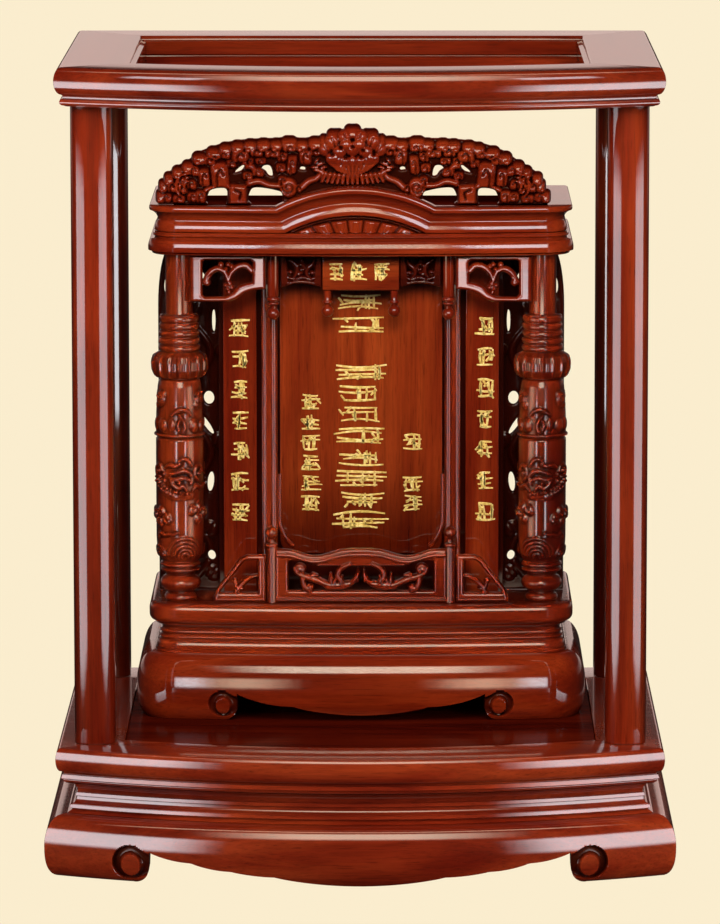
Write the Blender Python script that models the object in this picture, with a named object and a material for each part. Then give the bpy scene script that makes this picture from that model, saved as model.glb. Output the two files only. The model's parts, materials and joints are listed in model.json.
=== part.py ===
"""Ancestor shrine: a carved tablet shrine standing in an open, bow-fronted case of red lacquered wood.

Metres, +Z up. The front faces -Y, and the origin is at the centre of the underside. Depths are measured
backwards from the vertical plane through the front corners of the case.
"""

import math

import bmesh
import bpy
from mathutils import Vector
from mathutils.geometry import delaunay_2d_cdt

# Driving dimensions of the case
HEIGHT = 0.545
CASE_HALF_WIDTH = 0.200
CORNER_DEPTH = 0.290
BOW = 0.041
SKIRT_SWELL = 0.0123
FRONT_CORNER_Y = -(CORNER_DEPTH - BOW) / 2
TOP_BOTTOM_Z = 0.5188
PLATFORM_TOP_Z = 0.0872
PLATFORM_BOTTOM_Z = 0.0635
SKIRT_TOP_Z = 0.0422
RAIL_WIDTH = 0.041
TOP_RAIL_WIDTH = 0.046
FLOOR_TOP_Z = PLATFORM_TOP_Z - 0.001
FLOOR_THICKNESS = 0.009
SKIRT_THICKNESS = 0.012
POST_WIDTH = 0.0277
POST_CORNER_RADIUS = 0.009
POST_SETBACK = 0.010
POST_OUTER_X = 0.1925
FOOT_LENGTH = 0.0592
FOOT_ROLL_RADIUS = 0.0125
FRONT_SEGMENTS = 12

# Driving dimensions of the tablet shrine
TABLET_HALF_WIDTH = 0.146
TABLET_FRONT_DEPTH = 0.103
TABLET_BACK_DEPTH = 0.2475
TABLET_BOW = 0.010
TABLET_CORNER_RADIUS = 0.0215
TABLET_SKIRT_TOP_Z = 0.1306
WAIST_TOP_Z = 0.1512
SLAB_BOTTOM_Z = 0.1515
SLAB_TOP_Z = 0.165
CORNICE_BOTTOM_Z = 0.4061
CORNICE_MIDDLE_Z = 0.4215
CORNICE_TOP_Z = 0.4397
ARCH_X = -0.0035
ARCH_HALF_WIDTH = 0.0545
ARCH_RISE = 0.0138
ARCH_FOOT_SHARE = 0.88
CROWN_X = -0.0055
CROWN_HALF_WIDTH = 0.1342
CROWN_RISE = 0.055
COLUMN_X = 0.1245
COLUMN_DEPTH = 0.1319
COLUMN_SIDES = 12

GAP = 0.0003
HALF_GAP = GAP / 2

RED_WOOD = (0.155, 0.017, 0.008)
DARK_WOOD = (0.075, 0.009, 0.005)
WARM_WOOD = (0.215, 0.034, 0.012)


def clear_scene():
    for old in list(bpy.data.objects):
        bpy.data.objects.remove(old, do_unlink=True)


def depth_to_y(depth):
    return FRONT_CORNER_Y + depth


def lacquered_wood(name, colour):
    material = bpy.data.materials.new(name + "_lacquer")
    material.use_nodes = True
    shader = material.node_tree.nodes["Principled BSDF"]
    shader.inputs["Base Color"].default_value = (*colour, 1.0)
    shader.inputs["Roughness"].default_value = 0.16
    shader.inputs["Metallic"].default_value = 0.0
    material.diffuse_color = (*colour, 1.0)
    return material


def finish(name, bm, parent, colour=RED_WOOD, smooth_degrees=35):
    """Turn a closed bmesh into a named node with its own material."""
    bmesh.ops.remove_doubles(bm, verts=bm.verts, dist=1e-7)
    bmesh.ops.recalc_face_normals(bm, faces=bm.faces)
    mesh = bpy.data.meshes.new(name)
    bm.to_mesh(mesh)
    bm.free()
    mesh.shade_smooth()
    mesh.set_sharp_from_angle(angle=math.radians(smooth_degrees))
    node = bpy.data.objects.new(name, mesh)
    bpy.context.scene.collection.objects.link(node)
    mesh.materials.append(lacquered_wood(name, colour))
    node.parent = parent
    return node


def loft(rings, closed_path=False):
    """Join rings of points, each a closed loop of equal length, into one closed body."""
    bm = bmesh.new()
    loops = [[bm.verts.new(point) for point in ring] for ring in rings]
    count = len(loops[0])
    pairs = list(zip(loops, loops[1:]))
    if closed_path:
        pairs.append((loops[-1], loops[0]))
    for first, second in pairs:
        for i in range(count):
            j = (i + 1) % count
            bm.faces.new((first[i], first[j], second[j], second[i]))
    if not closed_path:
        bm.faces.new(loops[0])
        bm.faces.new(list(reversed(loops[-1])))
    return bm


# The bow-fronted plan of the case


BOW_RADIUS = (CASE_HALF_WIDTH**2 + BOW**2) / (2 * BOW)
BOW_CENTRE_Y = FRONT_CORNER_Y - BOW + BOW_RADIUS
BACK_Y = depth_to_y(CORNER_DEPTH)


def front_y(x, offset):
    """Where the front outline, moved out by an offset, stands at x."""
    return BOW_CENTRE_Y - math.sqrt((BOW_RADIUS + offset) ** 2 - x * x)


def case_point(side, u, offset):
    """A point of the plan: u runs from -1 to 1 along a side, from mitre to mitre."""
    half = CASE_HALF_WIDTH + offset
    if side == "front":
        x = u * (half - HALF_GAP)
        return x, front_y(x, offset)
    if side == "back":
        return u * (half - HALF_GAP), BACK_Y + offset
    start = front_y(half, offset) + HALF_GAP
    end = BACK_Y + offset - HALF_GAP
    x = -half if side == "left" else half
    return x, start + (end - start) * (u + 1) / 2


def case_steps(side):
    if side == "front":
        return [2 * i / FRONT_SEGMENTS - 1 for i in range(FRONT_SEGMENTS + 1)]
    return [-1, 1]


def swept_rail(side, profile):
    rings = [
        [(*case_point(side, u, offset), z) for offset, z in profile]
        for u in case_steps(side)
    ]
    return loft(rings)


def half_round(centre_z, half_height, inner, outer, steps=5):
    """Profile points down a bullnose edge, from its top to its bottom."""
    points = []
    for i in range(steps + 1):
        angle = math.pi * i / steps
        offset = inner + (outer - inner) * math.sin(angle)
        points.append((offset, centre_z + half_height * math.cos(angle)))
    return points


def swell(z, top_z, fullest_z, base, reach, bottom_z=0.0, bottom_power=2.6):
    """Offset of a swelling skirt at height z: an ellipse above its fullest line, a squarer curve below."""
    if z >= fullest_z:
        t = min(1.0, (z - fullest_z) / (top_z - fullest_z))
        return base + reach * math.sqrt(max(0.0, 1 - t * t))
    t = min(1.0, (fullest_z - z) / (fullest_z - bottom_z))
    return base + reach * max(0.0, 1 - t**bottom_power) ** (1 / bottom_power)


def scallops(s, start, lobes):
    """Height of a scalloped edge at s, from 0 beside the foot to 1 at the middle of the board."""
    left, height = 0.0, start
    for end, end_height in lobes:
        if s <= end:
            q = (s - left) / (end - left)
            return height + (end_height - height) * math.sin(q * math.pi / 2) ** 0.8
        left, height = end, end_height
    return height


# Scallops are (end, height): how far along from foot to middle each one ends, and the edge's height there.
CASE_SCALLOPS = ((0.20, 0.0169), (0.39, 0.0121), (0.60, 0.0090), (1.0, 0.0030))
CASE_SCALLOP_START = 0.0228
CASE_FULLEST_Z = 0.0195
SKIRT_LEVELS = (0, 0.12, 0.36, 0.62, 0.86, 1)
SKIRT_MITRE_LENGTH = 0.030
FOOT_WALL_STEP = 0.0004


def half_length_of(side):
    return CASE_HALF_WIDTH if side in ("front", "back") else CORNER_DEPTH / 2


def skirt_point(side, place, offset):
    """A point of a skirt's plan, at a distance from the middle of its side and mitred at its ends."""
    half_length = half_length_of(side)
    square = half_length - SKIRT_MITRE_LENGTH
    turn = max(0.0, (abs(place) - square) / SKIRT_MITRE_LENGTH)
    sign = 1 if place > 0 else -1
    end_x, end_y = case_point(side, sign, offset)
    if side in ("front", "back"):
        x = sign * (min(abs(place), square) * (1 - turn) + abs(end_x) * turn)
        return x, front_y(x, offset) if side == "front" else BACK_Y + offset
    middle = (FRONT_CORNER_Y + BACK_Y) / 2
    return end_x, (middle + sign * min(abs(place), square)) * (1 - turn) + end_y * turn


def foot_steps(half_length, roll_x, apron_steps):
    """Distances from the middle at which a skirt's lower edge is read, as (distance, height rule) pairs."""
    inner = half_length - FOOT_LENGTH
    steps = [(inner * i / apron_steps, "apron") for i in range(apron_steps + 1)]
    steps += [(inner + FOOT_WALL_STEP + (roll_x - inner) * i / 3, "foot") for i in range(4)]
    return steps + [(half_length - SKIRT_MITRE_LENGTH, "foot"), (half_length, "foot")]


def case_edge_height(distance, rule, half_length):
    inner = half_length - FOOT_LENGTH
    if rule == "apron":
        return scallops(1 - distance / inner, CASE_SCALLOP_START, CASE_SCALLOPS)
    roll_x = inner + FOOT_ROLL_RADIUS
    if distance >= roll_x:
        return 0.0
    across = min(FOOT_ROLL_RADIUS, roll_x - distance)
    return FOOT_ROLL_RADIUS - math.sqrt(FOOT_ROLL_RADIUS**2 - across**2)


def case_skirt(side, apron_steps):
    half_length = half_length_of(side)
    half = foot_steps(half_length, half_length - FOOT_LENGTH + FOOT_ROLL_RADIUS, apron_steps)
    steps = [(-distance, rule) for distance, rule in reversed(half)] + half[1:]
    rings = []
    for place, rule in steps:
        low = case_edge_height(abs(place), rule, half_length)
        outer = [low + (SKIRT_TOP_Z - low) * level for level in SKIRT_LEVELS]
        profile = [(swell(z, SKIRT_TOP_Z, CASE_FULLEST_Z, 0.0, SKIRT_SWELL), z) for z in outer]
        profile += [(-SKIRT_THICKNESS, SKIRT_TOP_Z), (-SKIRT_THICKNESS, low)]
        rings.append([(*skirt_point(side, place, offset), z) for offset, z in profile])
    return loft(rings)


TOP_INNER = -TOP_RAIL_WIDTH - 0.0035
TOP_RAIL_PROFILE = [
    *half_round(0.5359, 0.0091, -0.0027, 0.0024),
    (-0.0035, 0.5250),
    *half_round(0.5217, 0.0024, -0.0040, -0.0013, 3),
    (-0.0060, TOP_BOTTOM_Z),
    (TOP_INNER, TOP_BOTTOM_Z),
    (TOP_INNER, 0.5300),
    (TOP_INNER + 0.0020, 0.5312),
    (TOP_INNER, 0.5324),
    (TOP_INNER, 0.5415),
    (-TOP_RAIL_WIDTH, 0.5420),
    (-TOP_RAIL_WIDTH, HEIGHT),
]
NOSE_BOTTOM_Z = 0.0714
PLATFORM_RAIL_PROFILE = [
    *half_round((PLATFORM_TOP_Z + NOSE_BOTTOM_Z) / 2, (PLATFORM_TOP_Z - NOSE_BOTTOM_Z) / 2, 0.0013, 0.0046),
    (-0.0006, 0.0702),
    *half_round(0.0661, 0.0022, -0.0006, 0.0011, 3),
    (-0.0030, PLATFORM_BOTTOM_Z),
    (-RAIL_WIDTH, PLATFORM_BOTTOM_Z),
    (-RAIL_WIDTH, PLATFORM_TOP_Z),
]
WAIST_WIDTH = 0.0280
WAIST_PROFILE = [
    (-0.0012, PLATFORM_BOTTOM_Z - GAP),
    (-0.0055, 0.0598),
    (-0.0092, 0.0560),
    (-0.0100, 0.0535),
    (-0.0084, 0.0503),
    (-0.0040, 0.0462),
    (-0.0025, SKIRT_TOP_Z + GAP),
    (-WAIST_WIDTH, SKIRT_TOP_Z + GAP),
    (-WAIST_WIDTH, PLATFORM_BOTTOM_Z - GAP),
]
APRON_STEPS = {"front": 9, "left": 6, "right": 6, "back": 3}


def build_case(parent):
    for side, apron_steps in APRON_STEPS.items():
        finish(f"case_top_rail_{side}", swept_rail(side, TOP_RAIL_PROFILE), parent)
        finish(f"case_platform_rail_{side}", swept_rail(side, PLATFORM_RAIL_PROFILE), parent)
        finish(f"case_waist_moulding_{side}", swept_rail(side, WAIST_PROFILE), parent, DARK_WOOD)
        finish(f"case_skirt_{side}", case_skirt(side, apron_steps), parent)

    inset = -RAIL_WIDTH - GAP
    plan = [case_point("front", u, inset) for u in case_steps("front")]
    plan += [case_point("back", 1, inset), case_point("back", -1, inset)]
    levels = (FLOOR_TOP_Z - FLOOR_THICKNESS, FLOOR_TOP_Z)
    finish("case_floor_panel", loft([[(x, y, z) for x, y in plan] for z in levels]), parent, DARK_WOOD)
    build_posts(parent)


def rounded_square(half, radius, steps=3):
    points = []
    for corner in range(4):
        start = corner * math.pi / 2
        cx = (half - radius) * (1 if corner in (0, 3) else -1)
        cy = (half - radius) * (1 if corner in (0, 1) else -1)
        for i in range(steps + 1):
            angle = start + math.pi / 2 * i / steps
            points.append((cx + radius * math.cos(angle), cy + radius * math.sin(angle)))
    return points


def build_posts(parent):
    x = POST_OUTER_X - POST_WIDTH / 2
    inset = POST_SETBACK + POST_WIDTH / 2
    section = rounded_square(POST_WIDTH / 2, POST_CORNER_RADIUS)
    levels = (PLATFORM_TOP_Z + GAP, TOP_BOTTOM_Z - GAP)
    for row, depth in (("front", inset), ("back", CORNER_DEPTH - inset)):
        for side_name, sign in (("left", -1), ("right", 1)):
            rings = [[(sign * x + px, depth_to_y(depth) + py, z) for px, py in section] for z in levels]
            finish(f"case_post_{row}_{side_name}", loft(rings), parent)


# The plan of the tablet shrine: a shallow bow, two rounded front corners and a flat back


TABLET_BOW_RADIUS = (TABLET_HALF_WIDTH**2 + TABLET_BOW**2) / (2 * TABLET_BOW)
TABLET_CENTRE_Y = depth_to_y(TABLET_FRONT_DEPTH) + TABLET_BOW_RADIUS
TABLET_BACK_Y = depth_to_y(TABLET_BACK_DEPTH)
CORNER_X = TABLET_HALF_WIDTH - TABLET_CORNER_RADIUS
INNER_RADIUS = TABLET_BOW_RADIUS - TABLET_CORNER_RADIUS
CORNER_ANGLE = math.asin(CORNER_X / INNER_RADIUS)
CORNER_Y = TABLET_CENTRE_Y - INNER_RADIUS * math.cos(CORNER_ANGLE)


def tablet_front_y(x, offset):
    return TABLET_CENTRE_Y - math.sqrt((TABLET_BOW_RADIUS + offset) ** 2 - x * x)


def bow_point(x_share, offset):
    """A point of the bow, where x_share runs from -1 to 1 between the rounded corners."""
    angle = CORNER_ANGLE * x_share
    radius = TABLET_BOW_RADIUS + offset
    return radius * math.sin(angle), TABLET_CENTRE_Y - radius * math.cos(angle)


def corner_point(turn, offset, sign):
    """A point of a rounded front corner, where turn runs from 0 at the bow to 1 at the side."""
    angle = CORNER_ANGLE + (math.pi / 2 - CORNER_ANGLE) * turn
    radius = TABLET_CORNER_RADIUS + offset
    return sign * (CORNER_X + radius * math.sin(angle)), CORNER_Y - radius * math.cos(angle)


def tablet_path(bow_shares, corner_steps=3):
    """The front and sides of the plan, left to right, as functions of an offset."""
    turns = [i / corner_steps for i in range(1, corner_steps + 1)]
    path = [lambda offset: (-TABLET_HALF_WIDTH - offset, TABLET_BACK_Y)]
    path += [lambda offset, t=t: corner_point(t, offset, -1) for t in reversed(turns)]
    path += [lambda offset, s=s: bow_point(s, offset) for s in bow_shares]
    path += [lambda offset, t=t: corner_point(t, offset, 1) for t in turns]
    path += [lambda offset: (TABLET_HALF_WIDTH + offset, TABLET_BACK_Y)]
    return path


def even_shares(count):
    return [2 * i / count - 1 for i in range(count + 1)]


def tablet_board(rows):
    """A solid moulded board: rows are (offset, height) pairs from its underside to its top."""
    path = tablet_path(even_shares(4))
    return loft([[(*point(offset), z) for point in path] for offset, z in rows])


TABLET_SCALLOPS = ((0.455, 0.0100), (1.0, 0.0039))
TABLET_SCALLOP_START = 0.019
TABLET_FOOT_INNER_X = 0.0828
TABLET_ROLL_RADIUS = 0.0095
TABLET_SWELL = 0.0125
TABLET_SKIRT_BASE = -0.0035
TABLET_FULLEST_Z = 0.1085
TABLET_SKIRT_BOTTOM_Z = FLOOR_TOP_Z + GAP
TABLET_SKIRT_THICKNESS = 0.013


TABLET_SIDE_LIFT = 0.012
TABLET_SIDE_FOOT = 0.020
TABLET_BACK_FOOT = 0.035
TABLET_UNDERCUT = 0.0035


def tablet_skirt_profile(lift):
    low = TABLET_SKIRT_BOTTOM_Z + lift
    curve_bottom = TABLET_SKIRT_BOTTOM_Z - TABLET_UNDERCUT
    shape = (TABLET_SKIRT_TOP_Z, TABLET_FULLEST_Z, TABLET_SKIRT_BASE, TABLET_SWELL, curve_bottom)
    levels = [low + (TABLET_SKIRT_TOP_Z - low) * level for level in SKIRT_LEVELS]
    inner = TABLET_SKIRT_BASE - TABLET_SKIRT_THICKNESS
    return [(swell(z, *shape), z) for z in levels] + [(inner, TABLET_SKIRT_TOP_Z), (inner, low)]


def tablet_edge_lift(x):
    """Height of the skirt's lower edge over the floor, at a distance x from the middle."""
    if x < TABLET_FOOT_INNER_X:
        return scallops(1 - x / TABLET_FOOT_INNER_X, TABLET_SCALLOP_START, TABLET_SCALLOPS)
    roll_x = TABLET_FOOT_INNER_X + TABLET_ROLL_RADIUS
    if x >= roll_x:
        return 0.0
    across = min(TABLET_ROLL_RADIUS, roll_x - x)
    return TABLET_ROLL_RADIUS - math.sqrt(TABLET_ROLL_RADIUS**2 - across**2)


def tablet_skirt():
    """The swelling skirt as one frame: its lower edge is cut into feet, with an apron along the front."""
    inner, roll_x = TABLET_FOOT_INNER_X, TABLET_FOOT_INNER_X + TABLET_ROLL_RADIUS
    wall = FOOT_WALL_STEP / 2
    marks = [inner * i / 8 for i in range(8)] + [inner - wall, inner + wall]
    marks += [inner + 0.2 * TABLET_ROLL_RADIUS, inner + 0.55 * TABLET_ROLL_RADIUS, roll_x, CORNER_X]
    front = []
    for x in [-m for m in reversed(marks)] + marks[1:]:
        share = math.asin(x / INNER_RADIUS) / CORNER_ANGLE
        profile = tablet_skirt_profile(tablet_edge_lift(abs(x)))
        front.append([(*bow_point(share, offset), z) for offset, z in profile])

    flat = tablet_skirt_profile(0.0)
    raised = tablet_skirt_profile(TABLET_SIDE_LIFT)
    side_y, back_y = CORNER_Y + TABLET_SIDE_FOOT, TABLET_BACK_Y - TABLET_BACK_FOOT
    places = ((side_y, flat), (side_y + 2 * wall, raised), (back_y - 2 * wall, raised), (back_y, flat))
    side = [[(*corner_point(turn, offset, 1), z) for offset, z in flat] for turn in (0.33, 0.67, 1.0)]
    side += [[(TABLET_HALF_WIDTH + offset, y, z) for offset, z in profile] for y, profile in places]
    end = []
    for i, (offset, z) in enumerate(flat):
        y = TABLET_BACK_Y if i < len(SKIRT_LEVELS) else TABLET_BACK_Y - TABLET_SKIRT_THICKNESS
        end.append((TABLET_HALF_WIDTH + offset, y, z))
    side.append(end)
    other_side = [[(-x, y, z) for x, y, z in ring] for ring in reversed(side)]
    return loft(front + side + other_side, closed_path=True)


def build_tablet_base(parent):
    finish("tablet_skirt", tablet_skirt(), parent)
    waist_rows = [
        (-0.0042, TABLET_SKIRT_TOP_Z + GAP),
        (-0.0045, 0.1345),
        (-0.0060, 0.1360),
        (-0.0072, 0.1388),
        (-0.0072, 0.1408),
        (-0.0088, 0.1418),
        (-0.0076, 0.1427),
        (-0.0076, 0.1441),
        (-0.0092, 0.1452),
        (-0.0086, 0.1474),
        (-0.0056, 0.1492),
        (-0.0056, WAIST_TOP_Z),
    ]
    finish("tablet_waist", tablet_board(waist_rows), parent)
    slab_rows = [
        (-0.0038, SLAB_BOTTOM_Z),
        (-0.0008, 0.1530),
        (0.0, 0.1562),
        (0.0, 0.1600),
        (-0.0010, 0.1630),
        (-0.0038, SLAB_TOP_Z),
    ]
    finish("tablet_slab", tablet_board(slab_rows), parent)


# Cornice


def arch_lift(x, weight):
    """Rise of the arched cornice at x: weight is 0 on its lower edge and 1 on its lip."""
    share = ARCH_FOOT_SHARE + (1 - ARCH_FOOT_SHARE) * weight
    half, rise = ARCH_HALF_WIDTH * share, ARCH_RISE * share
    away = abs(x - ARCH_X)
    if away >= half:
        return 0.0
    radius = (half**2 + rise**2) / (2 * rise)
    return math.sqrt(radius**2 - away**2) - (radius - rise)


UPPER_BOTTOM_Z = CORNICE_MIDDLE_Z + GAP
STRIP_BACK = -0.018
FAN_RIBS = 7
FAN_SETBACK = -0.0105
FAN_GROOVE = 0.0012
# Rows of the upper moulding: offset, height, and how far each follows the arch
CORNICE_UPPER_ROWS = (
    (-0.0055, UPPER_BOTTOM_Z, 0.0),
    (-0.0070, 0.4240, 0.1),
    (-0.0081, 0.4270, 0.25),
    (-0.0068, 0.4305, 0.45),
    (-0.0042, 0.4338, 0.65),
    (-0.0018, 0.4358, 0.8),
    (-0.0018, 0.4389, 0.95),
    (-0.0030, CORNICE_TOP_Z, 1.0),
    (STRIP_BACK, CORNICE_TOP_Z, 1.0),
    (STRIP_BACK, UPPER_BOTTOM_Z, 0.0),
)
ARCH_MARKS = (0, 0.22, 0.44, 0.66, ARCH_FOOT_SHARE, 0.94, 1)


def cornice_upper():
    """The cavetto and lip, one strip round the front and sides, raised in an arch at the middle."""
    marks = [-mark for mark in reversed(ARCH_MARKS)] + list(ARCH_MARKS[1:])
    arch = [
        lambda offset, x=ARCH_X + mark * ARCH_HALF_WIDTH: (x, tablet_front_y(x, offset))
        for mark in marks
    ]
    ends = tablet_path([-1, -0.7, 0.7, 1])
    middle = len(ends) // 2
    rings = []
    for point in ends[:middle] + arch + ends[middle:]:
        ring = []
        for offset, z, weight in CORNICE_UPPER_ROWS:
            x, y = point(offset)
            ring.append((x, y, z + arch_lift(x, weight)))
        rings.append(ring)
    return loft(rings)


def fan_under_arch():
    """The ribbed fan that fills the space under the arch."""
    half = ARCH_HALF_WIDTH * (ARCH_FOOT_SHARE - 0.05)
    columns = []
    for i in range(2 * FAN_RIBS + 1):
        x = ARCH_X - half + half * i / FAN_RIBS
        front = tablet_front_y(x, FAN_SETBACK) + (FAN_GROOVE if i % 2 == 0 else 0.0)
        back = tablet_front_y(x, STRIP_BACK)
        low, top = UPPER_BOTTOM_Z, UPPER_BOTTOM_Z + arch_lift(x, 0.0) - 2 * GAP
        columns.append([(x, front, low), (x, front, top), (x, back, top), (x, back, low)])
    return loft(columns)


def build_cornice(parent):
    lower_rows = [
        (-0.0042, CORNICE_BOTTOM_Z),
        (-0.0020, 0.4072),
        (-0.0012, 0.4100),
        (-0.0012, 0.4140),
        (-0.0024, 0.4168),
        (-0.0046, 0.4184),
        (-0.0040, 0.4196),
        (-0.0048, CORNICE_MIDDLE_Z),
    ]
    finish("cornice_lower_member", tablet_board(lower_rows), parent)
    finish("cornice_upper_moulding", cornice_upper(), parent)
    path = tablet_path(even_shares(4))
    inset = STRIP_BACK - GAP
    levels = (UPPER_BOTTOM_Z, CORNICE_TOP_Z)
    plan = [point(inset) for point in path]
    finish("cornice_top_board", loft([[(x, y, z) for x, y in plan] for z in levels]), parent)
    finish("arch_fan", fan_under_arch(), parent, WARM_WOOD)


# Pierced and carved boards, drawn as seen from the front


def inside(point, outline):
    x, z = point
    found = False
    for (x0, z0), (x1, z1) in zip(outline, outline[1:] + outline[:1]):
        if (z0 > z) != (z1 > z) and x < (x1 - x0) * (z - z0) / (z1 - z0) + x0:
            found = not found
    return found


def distance_to(point, outline):
    best = 1.0
    p = Vector(point)
    for a, b in zip(outline, outline[1:] + outline[:1]):
        a, b = Vector(a), Vector(b)
        along = b - a
        t = max(0.0, min(1.0, (p - a).dot(along) / along.length_squared))
        best = min(best, (p - a - along * t).length)
    return best


def grid_points(outline, holes, step):
    """Points of a staggered grid that lie on the board, clear of its edges."""
    xs = [x for x, _ in outline]
    zs = [z for _, z in outline]
    points = []
    rows = int((max(zs) - min(zs)) / (step * 0.87)) + 1
    columns = int((max(xs) - min(xs)) / (2 * step)) + 1
    middle = (max(xs) + min(xs)) / 2
    for row in range(rows):
        z = min(zs) + (row + 0.5) * step * 0.87
        shift = step / 2 if row % 2 else 0.0
        for column in range(-columns, columns + 1):
            point = (middle + column * step + shift, z)
            edges = [outline, *holes]
            if not inside(point, outline) or any(inside(point, hole) for hole in holes):
                continue
            if min(distance_to(point, edge) for edge in edges) > 0.45 * step:
                points.append(point)
    return points


def board(outline, holes, y_front, y_back, relief=None, step=0.006):
    """A board with through holes. relief(x, z) gives how far its face stands out in front of y_front."""
    loops = [outline, *holes]
    on_edge = [point for loop in loops for point in loop]
    edges, start = [], 0
    for loop in loops:
        count = len(loop)
        edges += [(start + i, start + (i + 1) % count) for i in range(count)]
        start += count

    bm = bmesh.new()
    sides = []
    extra = grid_points(outline, holes, step) if relief else []
    for y, more in ((y_front, extra), (y_back, [])):
        coords = [Vector(point) for point in on_edge + more]
        _, _, faces, originals, *_ = delaunay_2d_cdt(coords, edges, [], 0, 1e-7)
        made = []
        for index, (x, z) in enumerate(on_edge + more):
            stand = relief(x, z) if index >= len(on_edge) else 0.0
            made.append(bm.verts.new((x, y - stand, z)))
        for face in faces:
            corners = [originals[i][0] for i in face]
            centre = sum((coords[i] for i in corners), Vector((0, 0))) / len(corners)
            if inside(centre, outline) and not any(inside(centre, hole) for hole in holes):
                bm.faces.new([made[i] for i in corners])
        sides.append(made)
    front, back = sides
    for a, b in edges:
        bm.faces.new((front[a], front[b], back[b], back[a]))
    return bm


def ellipse(x, z, rx, rz, count=8, turn=0.0):
    """An ellipse as an outline, its axes turned by an angle."""
    points = []
    cosine, sine = math.cos(turn), math.sin(turn)
    for i in range(count):
        angle = 2 * math.pi * (i + 0.5) / count
        px, pz = rx * math.cos(angle), rz * math.sin(angle)
        points.append((x + px * cosine - pz * sine, z + px * sine + pz * cosine))
    return points


def mirror_outline(outline, sign):
    return [(x * sign, z) for x, z in outline]


# Crown: a row of leaf lobes round a flower head. Lobes are (x, height, radius), and holes are ellipses.


CROWN_BOARD_DEPTH = 0.1240
CROWN_BOARD_THICKNESS = 0.0045
CROWN_BOTTOM_Z = CORNICE_TOP_Z + GAP
CROWN_RELIEF = 0.0085
CROWN_RELIEF_STEP = 0.0084
CROWN_RAIL_HEIGHT = 0.0065
CROWN_STEPS = 30
FLOWER_LOBES = ((0.0, 0.0445, 0.0105), (0.0125, 0.0412, 0.0100))
LEAF_LOBES = (
    (0.0290, 0.0375, 0.0090),
    (0.0425, 0.0390, 0.0095),
    (0.0570, 0.0360, 0.0100),
    (0.0715, 0.0350, 0.0100),
    (0.0840, 0.0330, 0.0095),
    (0.0940, 0.0300, 0.0092),
    (0.1045, 0.0255, 0.0095),
    (0.1140, 0.0190, 0.0092),
    (0.1230, 0.0130, 0.0092),
    (0.1262, 0.0060, 0.0080),
)
CROWN_HOLES = (
    (0.0595, 0.0095, 0.0095, 0.0026, 0.0),
    (0.0920, 0.0095, 0.0080, 0.0026, 0.0),
    (0.0555, 0.0240, 0.0042, 0.0034, 0.6),
    (0.0765, 0.0240, 0.0034, 0.0030, -0.7),
    (0.0345, 0.0225, 0.0030, 0.0020, 0.0),
)


def crown_lobes():
    lobes = [*FLOWER_LOBES, *LEAF_LOBES]
    return lobes + [(-x, z, r) for x, z, r in lobes if x > 0]


def crown_top(x):
    """Height of the crown's silhouette at x: the upper envelope of its lobes."""
    reach = [z + math.sqrt(r * r - (x - cx) ** 2) for cx, z, r in crown_lobes() if abs(x - cx) < r]
    return max(reach, default=0.004)


def crown_relief(x, z):
    height = z - CROWN_BOTTOM_Z
    behind_arch = abs(x + CROWN_X - ARCH_X) < 1.07 * ARCH_HALF_WIDTH and height < 1.1 * ARCH_RISE
    if height < CROWN_RAIL_HEIGHT or behind_arch:
        return 0.0
    best = 0.25 * CROWN_RELIEF
    for cx, cz, r in crown_lobes():
        away = math.hypot(x - cx, height - cz) / (r * 1.15)
        if away < 1:
            best = max(best, CROWN_RELIEF * math.sqrt(1 - away * away))
    return best


def build_crown(parent):
    half = []
    for i in range(CROWN_STEPS + 1):
        x = CROWN_HALF_WIDTH * i / CROWN_STEPS
        half.append((x, CROWN_BOTTOM_Z + crown_top(x)))
    outline = [(-CROWN_HALF_WIDTH, CROWN_BOTTOM_Z)] + mirror_outline(half[:0:-1], -1) + half
    outline.append((CROWN_HALF_WIDTH, CROWN_BOTTOM_Z))
    holes = []
    for x, z, rx, rz, turn in CROWN_HOLES:
        hole = ellipse(x, CROWN_BOTTOM_Z + z, rx, rz, 7, turn)
        holes += [hole, mirror_outline(hole, -1)]
    y_front = depth_to_y(CROWN_BOARD_DEPTH)
    y_back = y_front + CROWN_BOARD_THICKNESS
    bm = board(outline, holes, y_front, y_back, crown_relief, CROWN_RELIEF_STEP)
    bmesh.ops.translate(bm, verts=bm.verts, vec=(CROWN_X, 0, 0))
    finish("crown_carving", bm, parent, RED_WOOD, 60)


# Columns and small turned pieces


SMALL_SIDES = 8


def turned(rows, x, depth, sides=SMALL_SIDES, petals=(0.0, 0.0, 0.0)):
    """A turned body: rows are (radius, height) pairs. petals = (low, high, depth) flutes some rows."""
    y = depth_to_y(depth)
    low, high, flute = petals
    rings = []
    for radius, z in rows:
        ring = []
        for i in range(sides):
            angle = 2 * math.pi * (i + 0.5) / sides
            r = radius - (flute if i % 2 and low <= z <= high else 0.0)
            ring.append((x + r * math.cos(angle), y + r * math.sin(angle), z))
        rings.append(ring)
    return loft(rings)


COLLAR_LOW_Z = 0.3205
COLLAR_FLUTE = 0.0016
COLLAR_HIGH_Z = 0.3384
RING_COUNT = 5
RING_PITCH = 0.0050


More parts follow.
